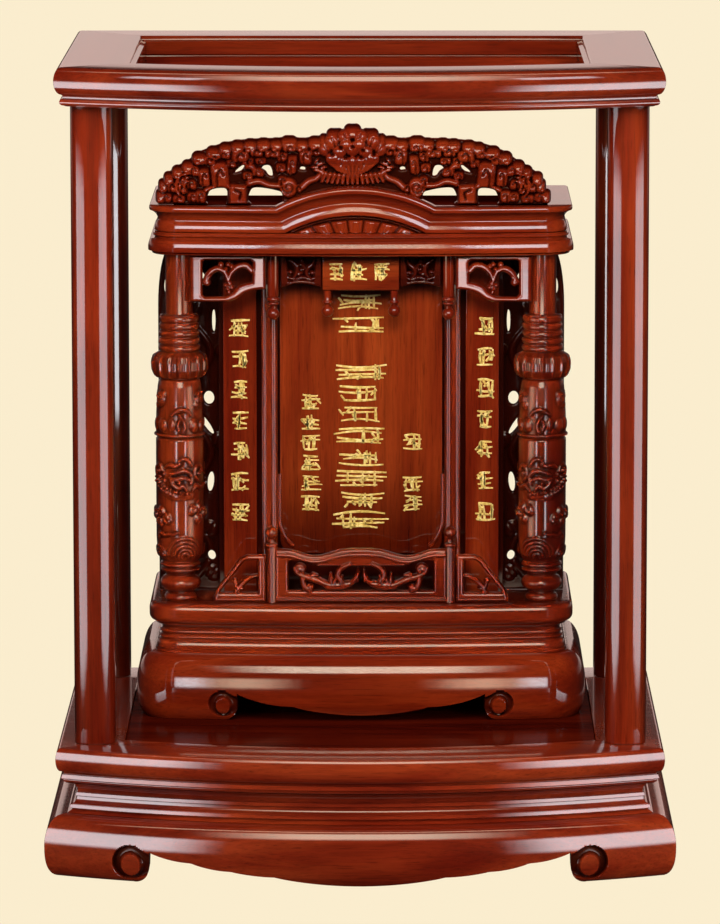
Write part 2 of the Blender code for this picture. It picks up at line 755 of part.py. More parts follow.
def column_rows():
    rows = [(0.0100, SLAB_TOP_Z + GAP), (0.0108, 0.1682), (0.0088, 0.1706)]
    rows += [(0.0127, 0.1740), (0.0142, 0.1784), (0.0125, 0.1830), (0.0108, 0.1848)]
    rows += [(0.0139, 0.1868), (0.0121, 0.1889), (0.0139, 0.1910)]
    rows += [(0.0176, 0.1990), (0.0184, 0.2100), (0.0184, 0.2900), (0.0160, 0.3196)]
    rows += [(0.0178, COLLAR_LOW_Z), (0.0194, 0.3260), (0.0187, 0.3335), (0.0150, COLLAR_HIGH_Z)]
    for i in range(RING_COUNT):
        z = COLLAR_HIGH_Z + i * RING_PITCH
        rows += [(0.0146, z + 0.0022), (0.0131, z + 0.0048)]
    return rows + [(0.0094, 0.3640), (0.0094, CORNICE_BOTTOM_Z - GAP)]


def ball_finial_rows(low_z, radius):
    """Rows of a small ball that hangs from a neck, from its lowest point up."""
    return [
        (radius * 0.25, low_z),
        (radius * 0.85, low_z + radius * 0.5),
        (radius, low_z + radius),
        (radius * 0.75, low_z + radius * 1.65),
        (radius * 0.45, low_z + radius * 2.1),
    ]


PENDANT_X = 0.0600
PENDANT_DEPTH = 0.1270
BALUSTRADE_POST_X = 0.0613
BALUSTRADE_DEPTH = 0.1205
PLAQUE_BOTTOM_Z = 0.3810
PLAQUE_HALF_WIDTH = 0.0262
SMALL_PENDANT_X = 0.0228
HANG_Z = CORNICE_BOTTOM_Z - GAP
STAND_Z = SLAB_TOP_Z + GAP


def column(sign):
    petals = (COLLAR_LOW_Z, COLLAR_HIGH_Z, COLLAR_FLUTE)
    return turned(column_rows(), sign * COLUMN_X, COLUMN_DEPTH, COLUMN_SIDES, petals)


def pendant(sign):
    rows = ball_finial_rows(0.3602, 0.0043)
    rows += [(0.0046, 0.3725), (0.0046, 0.3755), (0.0040, 0.3765), (0.0040, HANG_Z)]
    return turned(rows, sign * PENDANT_X, PENDANT_DEPTH)


def plaque_pendant(sign):
    rows = ball_finial_rows(0.3622, 0.0042)
    rows += [(0.0034, 0.3765), (0.0026, PLAQUE_BOTTOM_Z - GAP)]
    return turned(rows, sign * SMALL_PENDANT_X, PENDANT_DEPTH)


def balustrade_post(sign):
    rows = [(0.0034, STAND_Z), (0.0034, 0.2034), (0.0042, 0.2044), (0.0042, 0.2066)]
    rows += [(0.0020, 0.2088), (0.0034, 0.2106), (0.0044, 0.2142), (0.0034, 0.2174), (0.0010, 0.2190)]
    return turned(rows, sign * BALUSTRADE_POST_X, BALUSTRADE_DEPTH)


# The boards that fill the front of the tablet shrine


NAME_HALF_WIDTH = 0.0560
NAME_BOTTOM_Z = 0.1985
RAIL_INNER_X = 0.0575
RAIL_OUTER_X = 0.0685
COUPLET_INNER_X = 0.0720
COUPLET_OUTER_X = 0.0950
BACK_HALF_WIDTH = 0.0985
BOARDS_DEPTH = 0.1570
BACK_THICKNESS = 0.0120
NAME_DEPTH = 0.1500
RAIL_DEPTH = 0.1440
COUPLET_DEPTH = 0.1470
PLAQUE_DEPTH = 0.1235
PLAQUE_BACK_DEPTH = 0.1300
PANEL_DEPTH = 0.1260
BRACKET_DEPTH = 0.1175
LOW_BRACKET_DEPTH = 0.1182
CARVED_THICKNESS = 0.0044
FRETWORK_THICKNESS = 0.0042
BEVEL = 0.0010


def upright(x0, x1, low, high, depth0, depth1, edge=0.0):
    """An upright board between two heights and two depths, its front edges bevelled by edge."""
    y0, y1 = depth_to_y(depth0), depth_to_y(depth1)
    x0, x1 = sorted((x0, x1))
    sections = [(y1, 0.0), (y0 + edge, 0.0)]
    if edge:
        sections.append((y0, edge))
    rings = []
    for y, inset in sections:
        left, right, bottom, top = x0 + inset, x1 - inset, low + inset, high - inset
        rings.append([(left, y, bottom), (right, y, bottom), (right, y, top), (left, y, top)])
    return loft(rings)


def carved_board(outline, holes, sign, depth, thickness=CARVED_THICKNESS):
    """A flat pierced board, drawn for the right-hand side and mirrored for the left."""
    holes = [mirror_outline(hole, sign) for hole in holes]
    front = depth_to_y(depth)
    return board(mirror_outline(outline, sign), holes, front, front + thickness)


def name_board():
    """The tall board with rounded lower corners."""
    radius = 0.010
    outline = []
    for sign, start in ((-1, math.pi), (1, 1.5 * math.pi)):
        for i in range(5):
            angle = start + math.pi / 2 * i / 4
            x = sign * (NAME_HALF_WIDTH - radius) + radius * math.cos(angle)
            outline.append((x, NAME_BOTTOM_Z + radius + radius * math.sin(angle)))
    outline += [(NAME_HALF_WIDTH, HANG_Z), (-NAME_HALF_WIDTH, HANG_Z)]
    return board(outline, [], depth_to_y(NAME_DEPTH), depth_to_y(BOARDS_DEPTH - GAP))


def corner_bracket(sign):
    """An openwork bracket with an ogee lower edge and a leafy stem across its opening."""
    inner, outer = 0.0648, 0.1170
    low, neck = 0.3735, 0.3832
    outline = [(outer, HANG_Z), (inner, HANG_Z), (inner, neck)]
    steps = 7
    for i in range(steps + 1):
        t = i / steps
        x = inner + 0.006 + (outer - 0.026 - inner - 0.006) * t
        outline.append((x, neck + (low + 0.0012 - neck) * (0.5 - 0.5 * math.cos(math.pi * t))))
    outline.append((outer, low))
    holes = [
        ellipse(0.1015, 0.3832, 0.0054, 0.0050, 7),
        ellipse(0.1000, 0.3985, 0.0062, 0.0032, 7, -0.2),
        ellipse(0.0845, 0.3985, 0.0066, 0.0030, 7, 0.15),
        ellipse(0.0880, 0.3868, 0.0048, 0.0044, 7, 0.45),
        ellipse(0.0745, 0.3920, 0.0030, 0.0048, 6),
    ]
    return carved_board(outline, holes, sign, BRACKET_DEPTH)


def pierced_panel(sign):
    """The small carved panel beside the plaque, with an arched lower edge."""
    inner, outer = PLAQUE_HALF_WIDTH + GAP, PENDANT_X - 0.0049
    low = 0.3822
    outline = [(inner, HANG_Z), (inner, low)]
    steps = 6
    for i in range(steps + 1):
        t = i / steps
        x = inner + 0.003 + (outer - inner - 0.006) * t
        outline.append((x, low + 0.0040 * math.sin(math.pi * t)))
    outline += [(outer, low), (outer, HANG_Z)]
    middle = (inner + outer) / 2
    holes = [
        ellipse(middle - 0.006, 0.3985, 0.0034, 0.0034, 6),
        ellipse(middle + 0.006, 0.3985, 0.0034, 0.0034, 6),
        ellipse(middle - 0.0075, 0.3905, 0.0022, 0.0028, 6),
        ellipse(middle + 0.0075, 0.3905, 0.0022, 0.0028, 6),
    ]
    return carved_board(outline, holes, sign, PANEL_DEPTH)


def balustrade_panel():
    """The low panel across the foot of the name board: a wavy top over openwork of scrolling stems."""
    half = 0.0572
    top = []
    steps = 10
    for i in range(steps + 1):
        x = half - 2 * half * i / steps
        top.append((x, 0.1962 + 0.0036 * math.cos(2 * math.pi * x / half)))
    outline = [(-half, STAND_Z), (half, STAND_Z)] + top
    holes = [ellipse(0.0, 0.1770, 0.0062, 0.0026, 6), ellipse(0.0, 0.1900, 0.0050, 0.0044, 6)]
    for x, z, rx, rz, turn in (
        (0.0150, 0.1840, 0.0040, 0.0062, -0.5),
        (0.0265, 0.1800, 0.0048, 0.0046, 0.4),
        (0.0385, 0.1860, 0.0056, 0.0040, -0.4),
        (0.0415, 0.1772, 0.0050, 0.0024, 0.0),
    ):
        hole = ellipse(x, z, rx, rz, 7, turn)
        holes += [hole, mirror_outline(hole, -1)]
    return carved_board(outline, holes, 1, BALUSTRADE_DEPTH - CARVED_THICKNESS / 2)


def triangle_bracket(sign):
    """The openwork bracket that falls from the balustrade post to the slab."""
    inner, tip, top, tip_top = 0.0652, 0.1015, 0.1985, 0.1710
    shoulder = inner + 0.0100
    outline = [(inner, STAND_Z), (tip, STAND_Z), (tip, tip_top)]
    steps = 6
    for i in range(1, steps):
        t = i / steps
        outline.append((tip + (shoulder - tip) * t, tip_top + (top - tip_top) * t**1.15))
    outline += [(shoulder, top), (inner, top)]
    frame = 0.0038
    hole = [
        (inner + frame, STAND_Z + frame),
        (tip - 3 * frame, STAND_Z + frame),
        (tip - 4.3 * frame, 0.1770),
        (shoulder + 0.0005, 0.1895),
        (inner + frame, 0.1935),
    ]
    return carved_board(outline, [hole], sign, LOW_BRACKET_DEPTH)


FRETWORK_HOLES = (
    (0.1245, 0.3950, 0.0030, 0.0050, 0.2),
    (0.1340, 0.3800, 0.0028, 0.0060, 0.1),
    (0.1050, 0.3840, 0.0030, 0.0050, 0.3),
    (0.1015, 0.3530, 0.0016, 0.0060, 0.0),
    (0.1040, 0.3005, 0.0036, 0.0048, -0.1),
    (0.1035, 0.2790, 0.0018, 0.0072, -0.6),
    (0.1030, 0.2415, 0.0026, 0.0068, 0.1),
    (0.1045, 0.2050, 0.0030, 0.0055, -0.3),
)


def side_fretwork(sign):
    """The pierced board behind a column, with a shoulder at its upper outer corner."""
    inner, outer = BACK_HALF_WIDTH - 0.0105, 0.1405
    shoulder_z, shoulder_width = 0.3640, 0.0090
    outline = [(inner, HANG_Z), (inner, STAND_Z), (outer, STAND_Z), (outer, shoulder_z)]
    steps = 5
    for i in range(1, steps + 1):
        angle = math.pi / 2 * i / steps
        rise = (HANG_Z - shoulder_z) * math.sin(angle)
        outline.append((outer - shoulder_width * (1 - math.cos(angle)), shoulder_z + rise))
    holes = [ellipse(x, z, rx, rz, 6, turn) for x, z, rx, rz, turn in FRETWORK_HOLES]
    return carved_board(outline, holes, sign, BOARDS_DEPTH + BACK_THICKNESS + GAP, FRETWORK_THICKNESS)


def build_boards(parent):
    back_depth = BOARDS_DEPTH + BACK_THICKNESS
    back = upright(-BACK_HALF_WIDTH, BACK_HALF_WIDTH, STAND_Z, HANG_Z, BOARDS_DEPTH, back_depth)
    plaque_edges = (-PLAQUE_HALF_WIDTH, PLAQUE_HALF_WIDTH, PLAQUE_BOTTOM_Z, HANG_Z)
    finish("back_board", back, parent, DARK_WOOD)
    finish("name_board", name_board(), parent)
    finish("plaque", upright(*plaque_edges, PLAQUE_DEPTH, PLAQUE_BACK_DEPTH, BEVEL), parent, WARM_WOOD)
    finish("balustrade_panel", balustrade_panel(), parent)


def board_rail(sign):
    edges = (sign * RAIL_INNER_X, sign * RAIL_OUTER_X, STAND_Z, HANG_Z)
    return upright(*edges, RAIL_DEPTH, BOARDS_DEPTH - GAP, 1.5 * BEVEL)


def couplet_board(sign):
    edges = (sign * COUPLET_INNER_X, sign * COUPLET_OUTER_X, STAND_Z, HANG_Z)
    return upright(*edges, COUPLET_DEPTH, BOARDS_DEPTH - GAP, BEVEL)


PAIRS = (
    ("column", column, RED_WOOD),
    ("pendant", pendant, RED_WOOD),
    ("plaque_pendant", plaque_pendant, RED_WOOD),
    ("balustrade_post", balustrade_post, RED_WOOD),
    ("board_rail", board_rail, RED_WOOD),
    ("couplet_board", couplet_board, RED_WOOD),
    ("corner_bracket", corner_bracket, RED_WOOD),
    ("pierced_panel", pierced_panel, DARK_WOOD),
    ("balustrade_bracket", triangle_bracket, RED_WOOD),
    ("side_fretwork", side_fretwork, DARK_WOOD),
)


def build_pairs(parent):
    """Pieces that come as a left and a right one, where sign is -1 on the left."""
    for name, build, colour in PAIRS:
        finish(f"{name}_left", build(-1), parent, colour)
        finish(f"{name}_right", build(1), parent, colour)


def main():
    clear_scene()
    shrine = bpy.data.objects.new("ancestor_shrine", None)
    bpy.context.scene.collection.objects.link(shrine)
    build_case(shrine)
    build_tablet_base(shrine)
    build_boards(shrine)
    build_pairs(shrine)
    build_cornice(shrine)
    build_crown(shrine)


main()
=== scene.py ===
"""Looks of the ancestor shrine: fine mouldings, carved relief, turned columns, gilding and gloss lacquer.

Metres, +Z up, front towards -Y. Carved ornament is drawn in millimetres.
"""

import json
import math
import random

import bmesh
import bpy
import numpy as np
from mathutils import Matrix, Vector

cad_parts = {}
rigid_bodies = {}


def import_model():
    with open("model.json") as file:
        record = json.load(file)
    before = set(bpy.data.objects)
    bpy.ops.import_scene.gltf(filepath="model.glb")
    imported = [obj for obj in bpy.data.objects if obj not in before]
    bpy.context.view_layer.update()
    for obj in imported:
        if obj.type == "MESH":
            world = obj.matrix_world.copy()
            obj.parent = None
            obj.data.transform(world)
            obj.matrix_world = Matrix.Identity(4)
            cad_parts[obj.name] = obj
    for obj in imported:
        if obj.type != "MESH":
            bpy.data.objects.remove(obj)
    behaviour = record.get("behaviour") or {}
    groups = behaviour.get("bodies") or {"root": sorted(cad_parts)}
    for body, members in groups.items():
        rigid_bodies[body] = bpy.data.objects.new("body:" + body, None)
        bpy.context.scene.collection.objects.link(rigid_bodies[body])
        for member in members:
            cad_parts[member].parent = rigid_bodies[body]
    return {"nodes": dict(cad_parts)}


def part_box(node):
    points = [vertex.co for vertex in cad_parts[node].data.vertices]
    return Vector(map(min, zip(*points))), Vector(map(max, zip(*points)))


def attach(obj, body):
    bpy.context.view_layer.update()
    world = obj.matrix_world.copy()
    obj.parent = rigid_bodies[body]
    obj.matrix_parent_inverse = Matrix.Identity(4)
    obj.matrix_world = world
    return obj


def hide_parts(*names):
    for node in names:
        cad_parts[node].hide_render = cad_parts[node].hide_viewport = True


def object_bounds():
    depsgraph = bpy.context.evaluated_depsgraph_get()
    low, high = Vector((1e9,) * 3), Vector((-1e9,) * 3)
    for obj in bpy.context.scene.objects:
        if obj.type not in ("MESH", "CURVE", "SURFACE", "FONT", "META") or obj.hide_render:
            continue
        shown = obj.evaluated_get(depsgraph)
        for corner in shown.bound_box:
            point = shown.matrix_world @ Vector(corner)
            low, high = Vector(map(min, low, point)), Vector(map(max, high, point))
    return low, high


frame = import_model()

CAD_LOW, CAD_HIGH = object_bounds()


def low(node_name):
    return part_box(node_name)[0]


def high(node_name):
    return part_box(node_name)[1]


def mm(drawn):
    """Numbers drawn in millimetres, alone or in rows within rows, as metres."""
    return drawn / 1000 if isinstance(drawn, (int, float)) else tuple(mm(each) for each in drawn)


# Driving dimensions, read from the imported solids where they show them

GAP = 0.0003
SKIRT_SWELL = 0.0123
BOW = 0.041
HEIGHT = CAD_HIGH.z
CASE_HALF_WIDTH = CAD_HIGH.x - SKIRT_SWELL
BACK_Y = CAD_HIGH.y - SKIRT_SWELL
FRONT_CORNER_Y = CAD_LOW.y + SKIRT_SWELL + BOW
CORNER_DEPTH = BACK_Y - FRONT_CORNER_Y
BOW_RADIUS = (CASE_HALF_WIDTH**2 + BOW**2) / (2 * BOW)
BOW_CENTRE_Y = FRONT_CORNER_Y - BOW + BOW_RADIUS
TOP_BOTTOM_Z = low("case_top_rail_front").z
PLATFORM_TOP_Z = high("case_platform_rail_front").z
PLATFORM_BOTTOM_Z = low("case_platform_rail_front").z
SKIRT_TOP_Z = high("case_skirt_front").z

TABLET_HALF_WIDTH = high("tablet_slab").x
TABLET_BACK_Y = high("tablet_slab").y
TABLET_BOW = 0.010
TABLET_FRONT_Y = low("tablet_slab").y + 0.00001
TABLET_CORNER_RADIUS = 0.0215
TABLET_SKIRT_BOTTOM_Z = low("tablet_skirt").z
TABLET_SKIRT_TOP_Z = high("tablet_skirt").z
SLAB_TOP_Z = high("tablet_slab").z
CORNICE_BOTTOM_Z = low("cornice_lower_member").z
CORNICE_MIDDLE_Z = high("cornice_lower_member").z
CORNICE_TOP_Z = high("cornice_top_board").z
HANG_Z = CORNICE_BOTTOM_Z - GAP
STAND_Z = SLAB_TOP_Z + GAP


# Materials


def plug(tree, made, inputs):
    """Sets each named socket to its number or colour, or links it to another."""
    for name, value in inputs.items():
        socket = made.inputs[name]
        if isinstance(value, bpy.types.NodeSocket):
            tree.links.new(value, socket)
        else:
            socket.default_value = (*value, 1.0) if socket.type == "RGBA" else value


def node(tree, kind, inputs, **settings):
    made = tree.nodes.new(kind)
    for name, value in settings.items():
        setattr(made, name, value)
    plug(tree, made, inputs)
    return made


def ramp(tree, source, stops):
    """A colour ramp over a factor: stops are (position, colour) pairs."""
    made = node(tree, "ShaderNodeValToRGB", {"Fac": source})
    elements = made.color_ramp.elements
    while len(elements) < len(stops):
        elements.new(0.5)
    for element, (position, colour) in zip(elements, stops):
        element.position = position
        element.color = (*colour, 1.0)
    return made.outputs["Color"]


def noise(tree, coordinates, stretch, detail, roughness, distortion=0.0):
    """Noise over object coordinates, stretched by a factor for each axis."""
    mapping = node(tree, "ShaderNodeMapping", {"Scale": stretch, "Vector": coordinates})
    inputs = {"Scale": 1.0, "Detail": detail, "Roughness": roughness, "Distortion": distortion}
    return node(tree, "ShaderNodeTexNoise", {**inputs, "Vector": mapping.outputs["Vector"]}).outputs["Fac"]


def spread(tree, value, start=0.0, stop=1.0, first=0.0, last=1.0, kind="LINEAR"):
    """A value that runs from start to stop, made to run from first to last."""
    inputs = {"Value": value, "From Min": start, "From Max": stop, "To Min": first, "To Max": last}
    return node(tree, "ShaderNodeMapRange", inputs, interpolation_type=kind).outputs["Result"]


def bumps(tree, height, strength, distance):
    inputs = {"Height": height, "Strength": strength, "Distance": distance}
    return node(tree, "ShaderNodeBump", inputs).outputs["Normal"]


def mix(tree, kind, factor, first, second):
    made = node(tree, "ShaderNodeMix", {}, data_type="RGBA", blend_type=kind)
    plug(tree, made, {"Factor": factor, "A": first, "B": second})
    return made.outputs["Result"]


def along(axis, lengthwise, across):
    """Stretch of a grain that runs along an axis: slow lengthwise, fast across."""
    return tuple(lengthwise if i == axis else across for i in range(3))


def shaded_towards_bottom(tree, coordinates, colour, bottom, top, share):
    """A colour darkened towards the bottom of a board: painted shade."""
    height = node(tree, "ShaderNodeSeparateXYZ", {"Vector": coordinates}).outputs["Z"]
    rise = spread(tree, height, bottom, top, kind="SMOOTHSTEP")
    tint = ramp(tree, rise, [(0.0, (share, 0.6 * share, 0.5 * share)), (1.0, (1.0, 1.0, 1.0))])
    return mix(tree, "MULTIPLY", 1.0, colour, tint)


def blank_material(name):
    """A new material, its tree and its shader."""
    material = bpy.data.materials.new(name)
    material.use_nodes = True
    return material, material.node_tree, material.node_tree.nodes["Principled BSDF"]


# Painted shade: in hollows the colour falls to this share of the wood's darkest colour.
CAVITY_SHADE_SHARE = 0.16
WARM_SHEEN = (1.0, 0.30, 0.12)
PLAIN = (1.0, 1.0, 1.0)
FIBRE_TINTS = ((0.30, (0.66, 0.62, 0.60)), (0.62, (1.12, 1.10, 1.06)))
PORE_TINTS = ((0.34, (0.45, 0.38, 0.36)), (0.43, PLAIN))
PATCH_TINTS = ((0.35, (0.84, 0.80, 0.80)), (0.65, (1.10, 1.08, 1.06)))
# Painted highlight: lighter on convex edges; darker in creases.
EDGE_HIGHLIGHT_AND_CREASE_TINTS = ((0.44, (0.55, 0.50, 0.48)), (0.50, PLAIN), (0.58, (1.35, 1.30, 1.25)))


def wood_colour(tree, coordinates, axis, fibres, wood):
    """Bands of a wood's three colours under fibres, pores and patches, lighter on convex edges as a painted
    highlight and darker in creases.
    """
    dark, middle, bright = wood
    bands = noise(tree, coordinates, along(axis, 5.0, 42.0), 4.0, 0.55, 0.6)
    pores = noise(tree, coordinates, along(axis, 60.0, 1300.0), 3.0, 0.5)
    patches = noise(tree, coordinates, (7.0, 7.0, 7.0), 2.0, 0.5)
    pointiness = node(tree, "ShaderNodeNewGeometry", {}).outputs["Pointiness"]
    colour = ramp(tree, bands, [(0.30, dark), (0.48, middle), (0.70, bright)])
    layers = (
        (0.9, fibres, FIBRE_TINTS),
        (0.6, pores, PORE_TINTS),
        (1.0, patches, PATCH_TINTS),
        # Pointiness lightens convex edges as a painted highlight and darkens creases.
        (0.6, pointiness, EDGE_HIGHLIGHT_AND_CREASE_TINTS),
    )
    for weight, source, tints in layers:
        colour = mix(tree, "MULTIPLY", weight, colour, ramp(tree, source, tints))
    return colour


def lacquered_wood(name, axis, wood, coat_roughness=0.05, coat=1.0, shade=None, sheen=0.12):
    """Red hardwood under clear gloss lacquer, its grain running along an axis (0 X, 1 Y, 2 Z).

    shade is (height, height, share): painted shade darkens the colour to that share from the second height to
    the first.
    """
    material, tree, shader = blank_material(name)
    coordinates = node(tree, "ShaderNodeTexCoord", {}).outputs["Object"]
    fibres = noise(tree, coordinates, along(axis, 14.0, 520.0), 8.0, 0.7)
    colour = wood_colour(tree, coordinates, axis, fibres, wood)
    # Painted shade in hollows: the colour darkens and the gloss coat thins out where the cavity value is
    # high.
    cavity = node(tree, "ShaderNodeAttribute", {}, attribute_name="cavity").outputs["Fac"]
    colour = mix(tree, "MIX", cavity, colour, tuple(CAVITY_SHADE_SHARE * c for c in wood[0]))
    if shade:
        colour = shaded_towards_bottom(tree, coordinates, colour, *shade)
    ripple = noise(tree, coordinates, (95.0, 95.0, 95.0), 1.5, 0.5)
    plug(tree, shader, {
        "Base Color": colour,
        "Roughness": spread(tree, fibres, first=0.30, last=0.46),
        "Specular IOR Level": sheen,
        "Specular Tint": WARM_SHEEN,
        "Coat Weight": spread(tree, cavity, first=coat, last=0.10 * coat),
        "Coat Roughness": coat_roughness,
        "Coat IOR": 1.52,
        "Normal": bumps(tree, fibres, 0.25, 0.00015),
        "Coat Normal": bumps(tree, ripple, 0.10, 0.0004),
    })
    return material


def gilding():
    """Gold leaf strokes: warm yellow with small burnished and rubbed patches."""
    material, tree, shader = blank_material("gold_leaf")
    coordinates = node(tree, "ShaderNodeTexCoord", {}).outputs["Object"]
    leaf = noise(tree, coordinates, (420.0, 420.0, 420.0), 4.0, 0.6)
    golds = ((0.32, (0.40, 0.25, 0.05)), (0.48, (0.66, 0.49, 0.14)), (0.66, (0.86, 0.72, 0.32)))
    plug(tree, shader, {
        "Base Color": ramp(tree, leaf, golds),
        "Metallic": 0.35,
        "Coat Weight": 0.6,
        "Coat Roughness": 0.1,
        "Roughness": spread(tree, leaf, first=0.28, last=0.52),
        "Normal": bumps(tree, leaf, 0.3, 0.0002),
    })
    return material


def at_share(share, wood):
    """A wood's three colours, made brighter or darker: copies of one wood that paint light or shade on some
    pieces.
    """
    return [tuple(share * c for c in colour) for colour in wood]


RED = ((0.060, 0.0030, 0.0010), (0.104, 0.0086, 0.0022), (0.158, 0.0190, 0.0044))
DEEP = ((0.020, 0.0013, 0.0006), (0.037, 0.0025, 0.0009), (0.060, 0.0052, 0.0016))
BRIGHT = ((0.088, 0.0085, 0.0022), (0.132, 0.0170, 0.0036), (0.180, 0.0290, 0.0060))
FAN_RED = ((0.080, 0.0060, 0.0016), (0.130, 0.0125, 0.0030), (0.170, 0.0200, 0.0045))
WOOD_X = lacquered_wood("red_wood_grain_x", 0, RED)
WOOD_Y = lacquered_wood("red_wood_grain_y", 1, RED)
WOOD_Z = lacquered_wood("red_wood_grain_z", 2, RED)
CARVED = lacquered_wood("carved_wood", 0, RED, 0.07)
# Dark wood for the panels beside the plaque: painted shade for their recess.
DEEP_X = lacquered_wood("deep_wood_grain_x", 0, DEEP)
BRIGHT_X = lacquered_wood("bright_wood_grain_x", 0, BRIGHT)
# Dark wood with little gloss for the case floor under the tablet: painted shade.
FLOOR_WOOD = lacquered_wood("floor_wood", 0, DEEP, 0.12, 0.10, sheen=0.0)
# Painted shade: very dark wood for the back board and fretwork deep behind the columns.
SHADE_WOOD = lacquered_wood("shade_wood", 2, at_share(0.40, DEEP), 0.10, 0.5)
# Dark wood without gloss for the top over the cornice: painted shade.
DULL_WOOD = lacquered_wood("dull_wood", 0, DEEP, 0.30, 0.0, sheen=0.0)
# A darker copy of the red wood: painted shade on boards that the columns and brackets shadow.
COUPLET_WOOD = lacquered_wood("couplet_wood", 2, at_share(0.78, RED))
FAN_WOOD = lacquered_wood("fan_wood", 2, FAN_RED)
# Painted shade darkens the name board towards its foot.
NAME_WOOD = lacquered_wood("name_wood", 2, BRIGHT, shade=(0.195, 0.270, 0.34))
COLUMN_WOOD = lacquered_wood("column_wood", 2, at_share(1.02, RED), 0.09)
# A brighter copy of the red wood: painted light on the balustrade and its brackets.
RAIL_WOOD = lacquered_wood("rail_wood", 0, at_share(1.30, RED))
GOLD = gilding()


# Meshes


def loft(rings, closed=False):
    """Vertices and faces of a body through rings of points, each a closed loop of equal length."""
    rings = np.asarray(rings, float)
    count, size = rings.shape[:2]
    rows = np.arange(count if closed else count - 1)[:, None]
    columns = np.arange(size)[None, :]
    next_row, next_column = (rows + 1) % count, (columns + 1) % size
    near, far = rows * size, next_row * size
    corners = (near + columns, near + next_column, far + next_column, far + columns)
    faces = np.stack(corners, -1).reshape(-1, 4).tolist()
    if not closed:
        faces.append(list(range(size)))
        faces.append(list(range(count * size - 1, (count - 1) * size - 1, -1)))
    return rings.reshape(-1, 3), faces


def piece(name, parts, material, nodes, smooth=38, cavity=None):
    """One object from a (vertices, faces) pair. It rides with the shrine and stands for CAD nodes."""
    verts, faces = parts
    bm = bmesh.new()
    made = [bm.verts.new(v) for v in verts]
    for face in faces:
        bm.faces.new([made[i] for i in face])
    bmesh.ops.recalc_face_normals(bm, faces=bm.faces)
    mesh = bpy.data.meshes.new(name)
    bm.to_mesh(mesh)
    bm.free()
    mesh.shade_smooth()
    mesh.set_sharp_from_angle(angle=math.radians(smooth))
    # Per-vertex painted shade for hollows, which the wood materials read.
    if cavity is not None:
        attribute = mesh.attributes.new("cavity", "FLOAT", "POINT")
        attribute.data.foreach_set("value", np.asarray(cavity, np.float32))
    mesh.materials.append(material)
    made = bpy.data.objects.new(name, mesh)
    bpy.context.scene.collection.objects.link(made)
    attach(made, "root")
    if nodes:
        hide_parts(*nodes)


def join(*bodies):
    """Several (vertices, faces) pairs as one."""
    verts, faces, start = [], [], 0
    for body_verts, body_faces in bodies:
        verts.append(np.asarray(body_verts, float))
        faces += [[i + start for i in face] for face in body_faces]
        start += len(body_verts)
    return np.concatenate(verts), faces


# Profiles: rows of (offset, height)


def half_round(centre_z, half_height, inner, outer, steps):
    """A bullnose or bead, from its top to its bottom."""
    rows = []
    for i in range(steps + 1):
        angle = math.pi * i / steps
        rows.append((inner + (outer - inner) * math.sin(angle), centre_z + half_height * math.cos(angle)))
    return rows


FILLET_LEAN = 0.28


def fillet(top_z, bottom_z, inner, outer, ease=0.0004):
    """A narrow flat band that leans back a little, from its top to its bottom."""
    lean = FILLET_LEAN * (top_z - bottom_z)
    front = [(outer - lean, top_z), (outer, bottom_z + ease), (outer - ease, bottom_z)]
    return [(inner, top_z), *front, (inner, bottom_z)]


def bend(start, end, level_first, steps):
    """A quarter curve between two rows, leaving the first one level or upright."""
    (a, b), (c, d) = start, end
    rows = []
    for i in range(steps + 1):
        angle = math.pi / 2 * i / steps
        slow, fast = 1 - math.cos(angle), math.sin(angle)
        across, up = (fast, slow) if level_first else (slow, fast)
        rows.append((a + (c - a) * across, b + (d - b) * up))
    return rows


SWELL_POWER = 2.6


def swell(z, top_z, fullest_z, base, reach, bottom_z=0.0):
    """Offset of a swelling skirt: an ellipse above its fullest line, a squarer curve below."""
    z = np.asarray(z, float)
    above = np.clip((z - fullest_z) / (top_z - fullest_z), 0, 1)
    below = np.clip((fullest_z - z) / (fullest_z - bottom_z), 0, 1)
    upper, lower = np.sqrt(1 - above**2), (1 - below**SWELL_POWER) ** (1 / SWELL_POWER)
    return base + reach * np.where(z >= fullest_z, upper, lower)


def scallops(s, start, lobes):
    """Height of a scalloped edge at s, from 0 beside the foot to 1 at the middle of the board."""
    left, height = 0.0, start
    for end, end_height in lobes:
        if s <= end:
            q = (s - left) / (end - left)
            return height + (end_height - height) * math.sin(q * math.pi / 2) ** 0.8
        left, height = end, end_height
    return height


# The case: mitred mouldings round its bow-fronted plan


HALF_GAP = GAP / 2
SIDES = ("front", "left", "right", "back")


def front_y(x, offset):
    return BOW_CENTRE_Y - np.sqrt((BOW_RADIUS + offset) ** 2 - x * x)


def case_point(side, u, offset):
    """A point of the plan: u runs from -1 to 1 along a side, from mitre to mitre."""
    half = CASE_HALF_WIDTH + offset
    if side == "front":
        x = u * (half - HALF_GAP)
        return x, front_y(x, offset)
    if side == "back":
        return u * (half - HALF_GAP), BACK_Y + offset + 0 * half
    start = front_y(half, offset) + HALF_GAP
    end = BACK_Y + offset - HALF_GAP
    return (-half if side == "left" else half), start + (end - start) * (u + 1) / 2


def case_rail(side, profile):
    offset, z = np.array(profile).T
    shares = np.linspace(-1, 1, 97) if side == "front" else np.linspace(-1, 1, 9)
    rings = []
    for u in shares:
        x, y = case_point(side, u, offset)
        rings.append(np.stack([x + 0 * z, y, z], 1))
    return loft(rings)


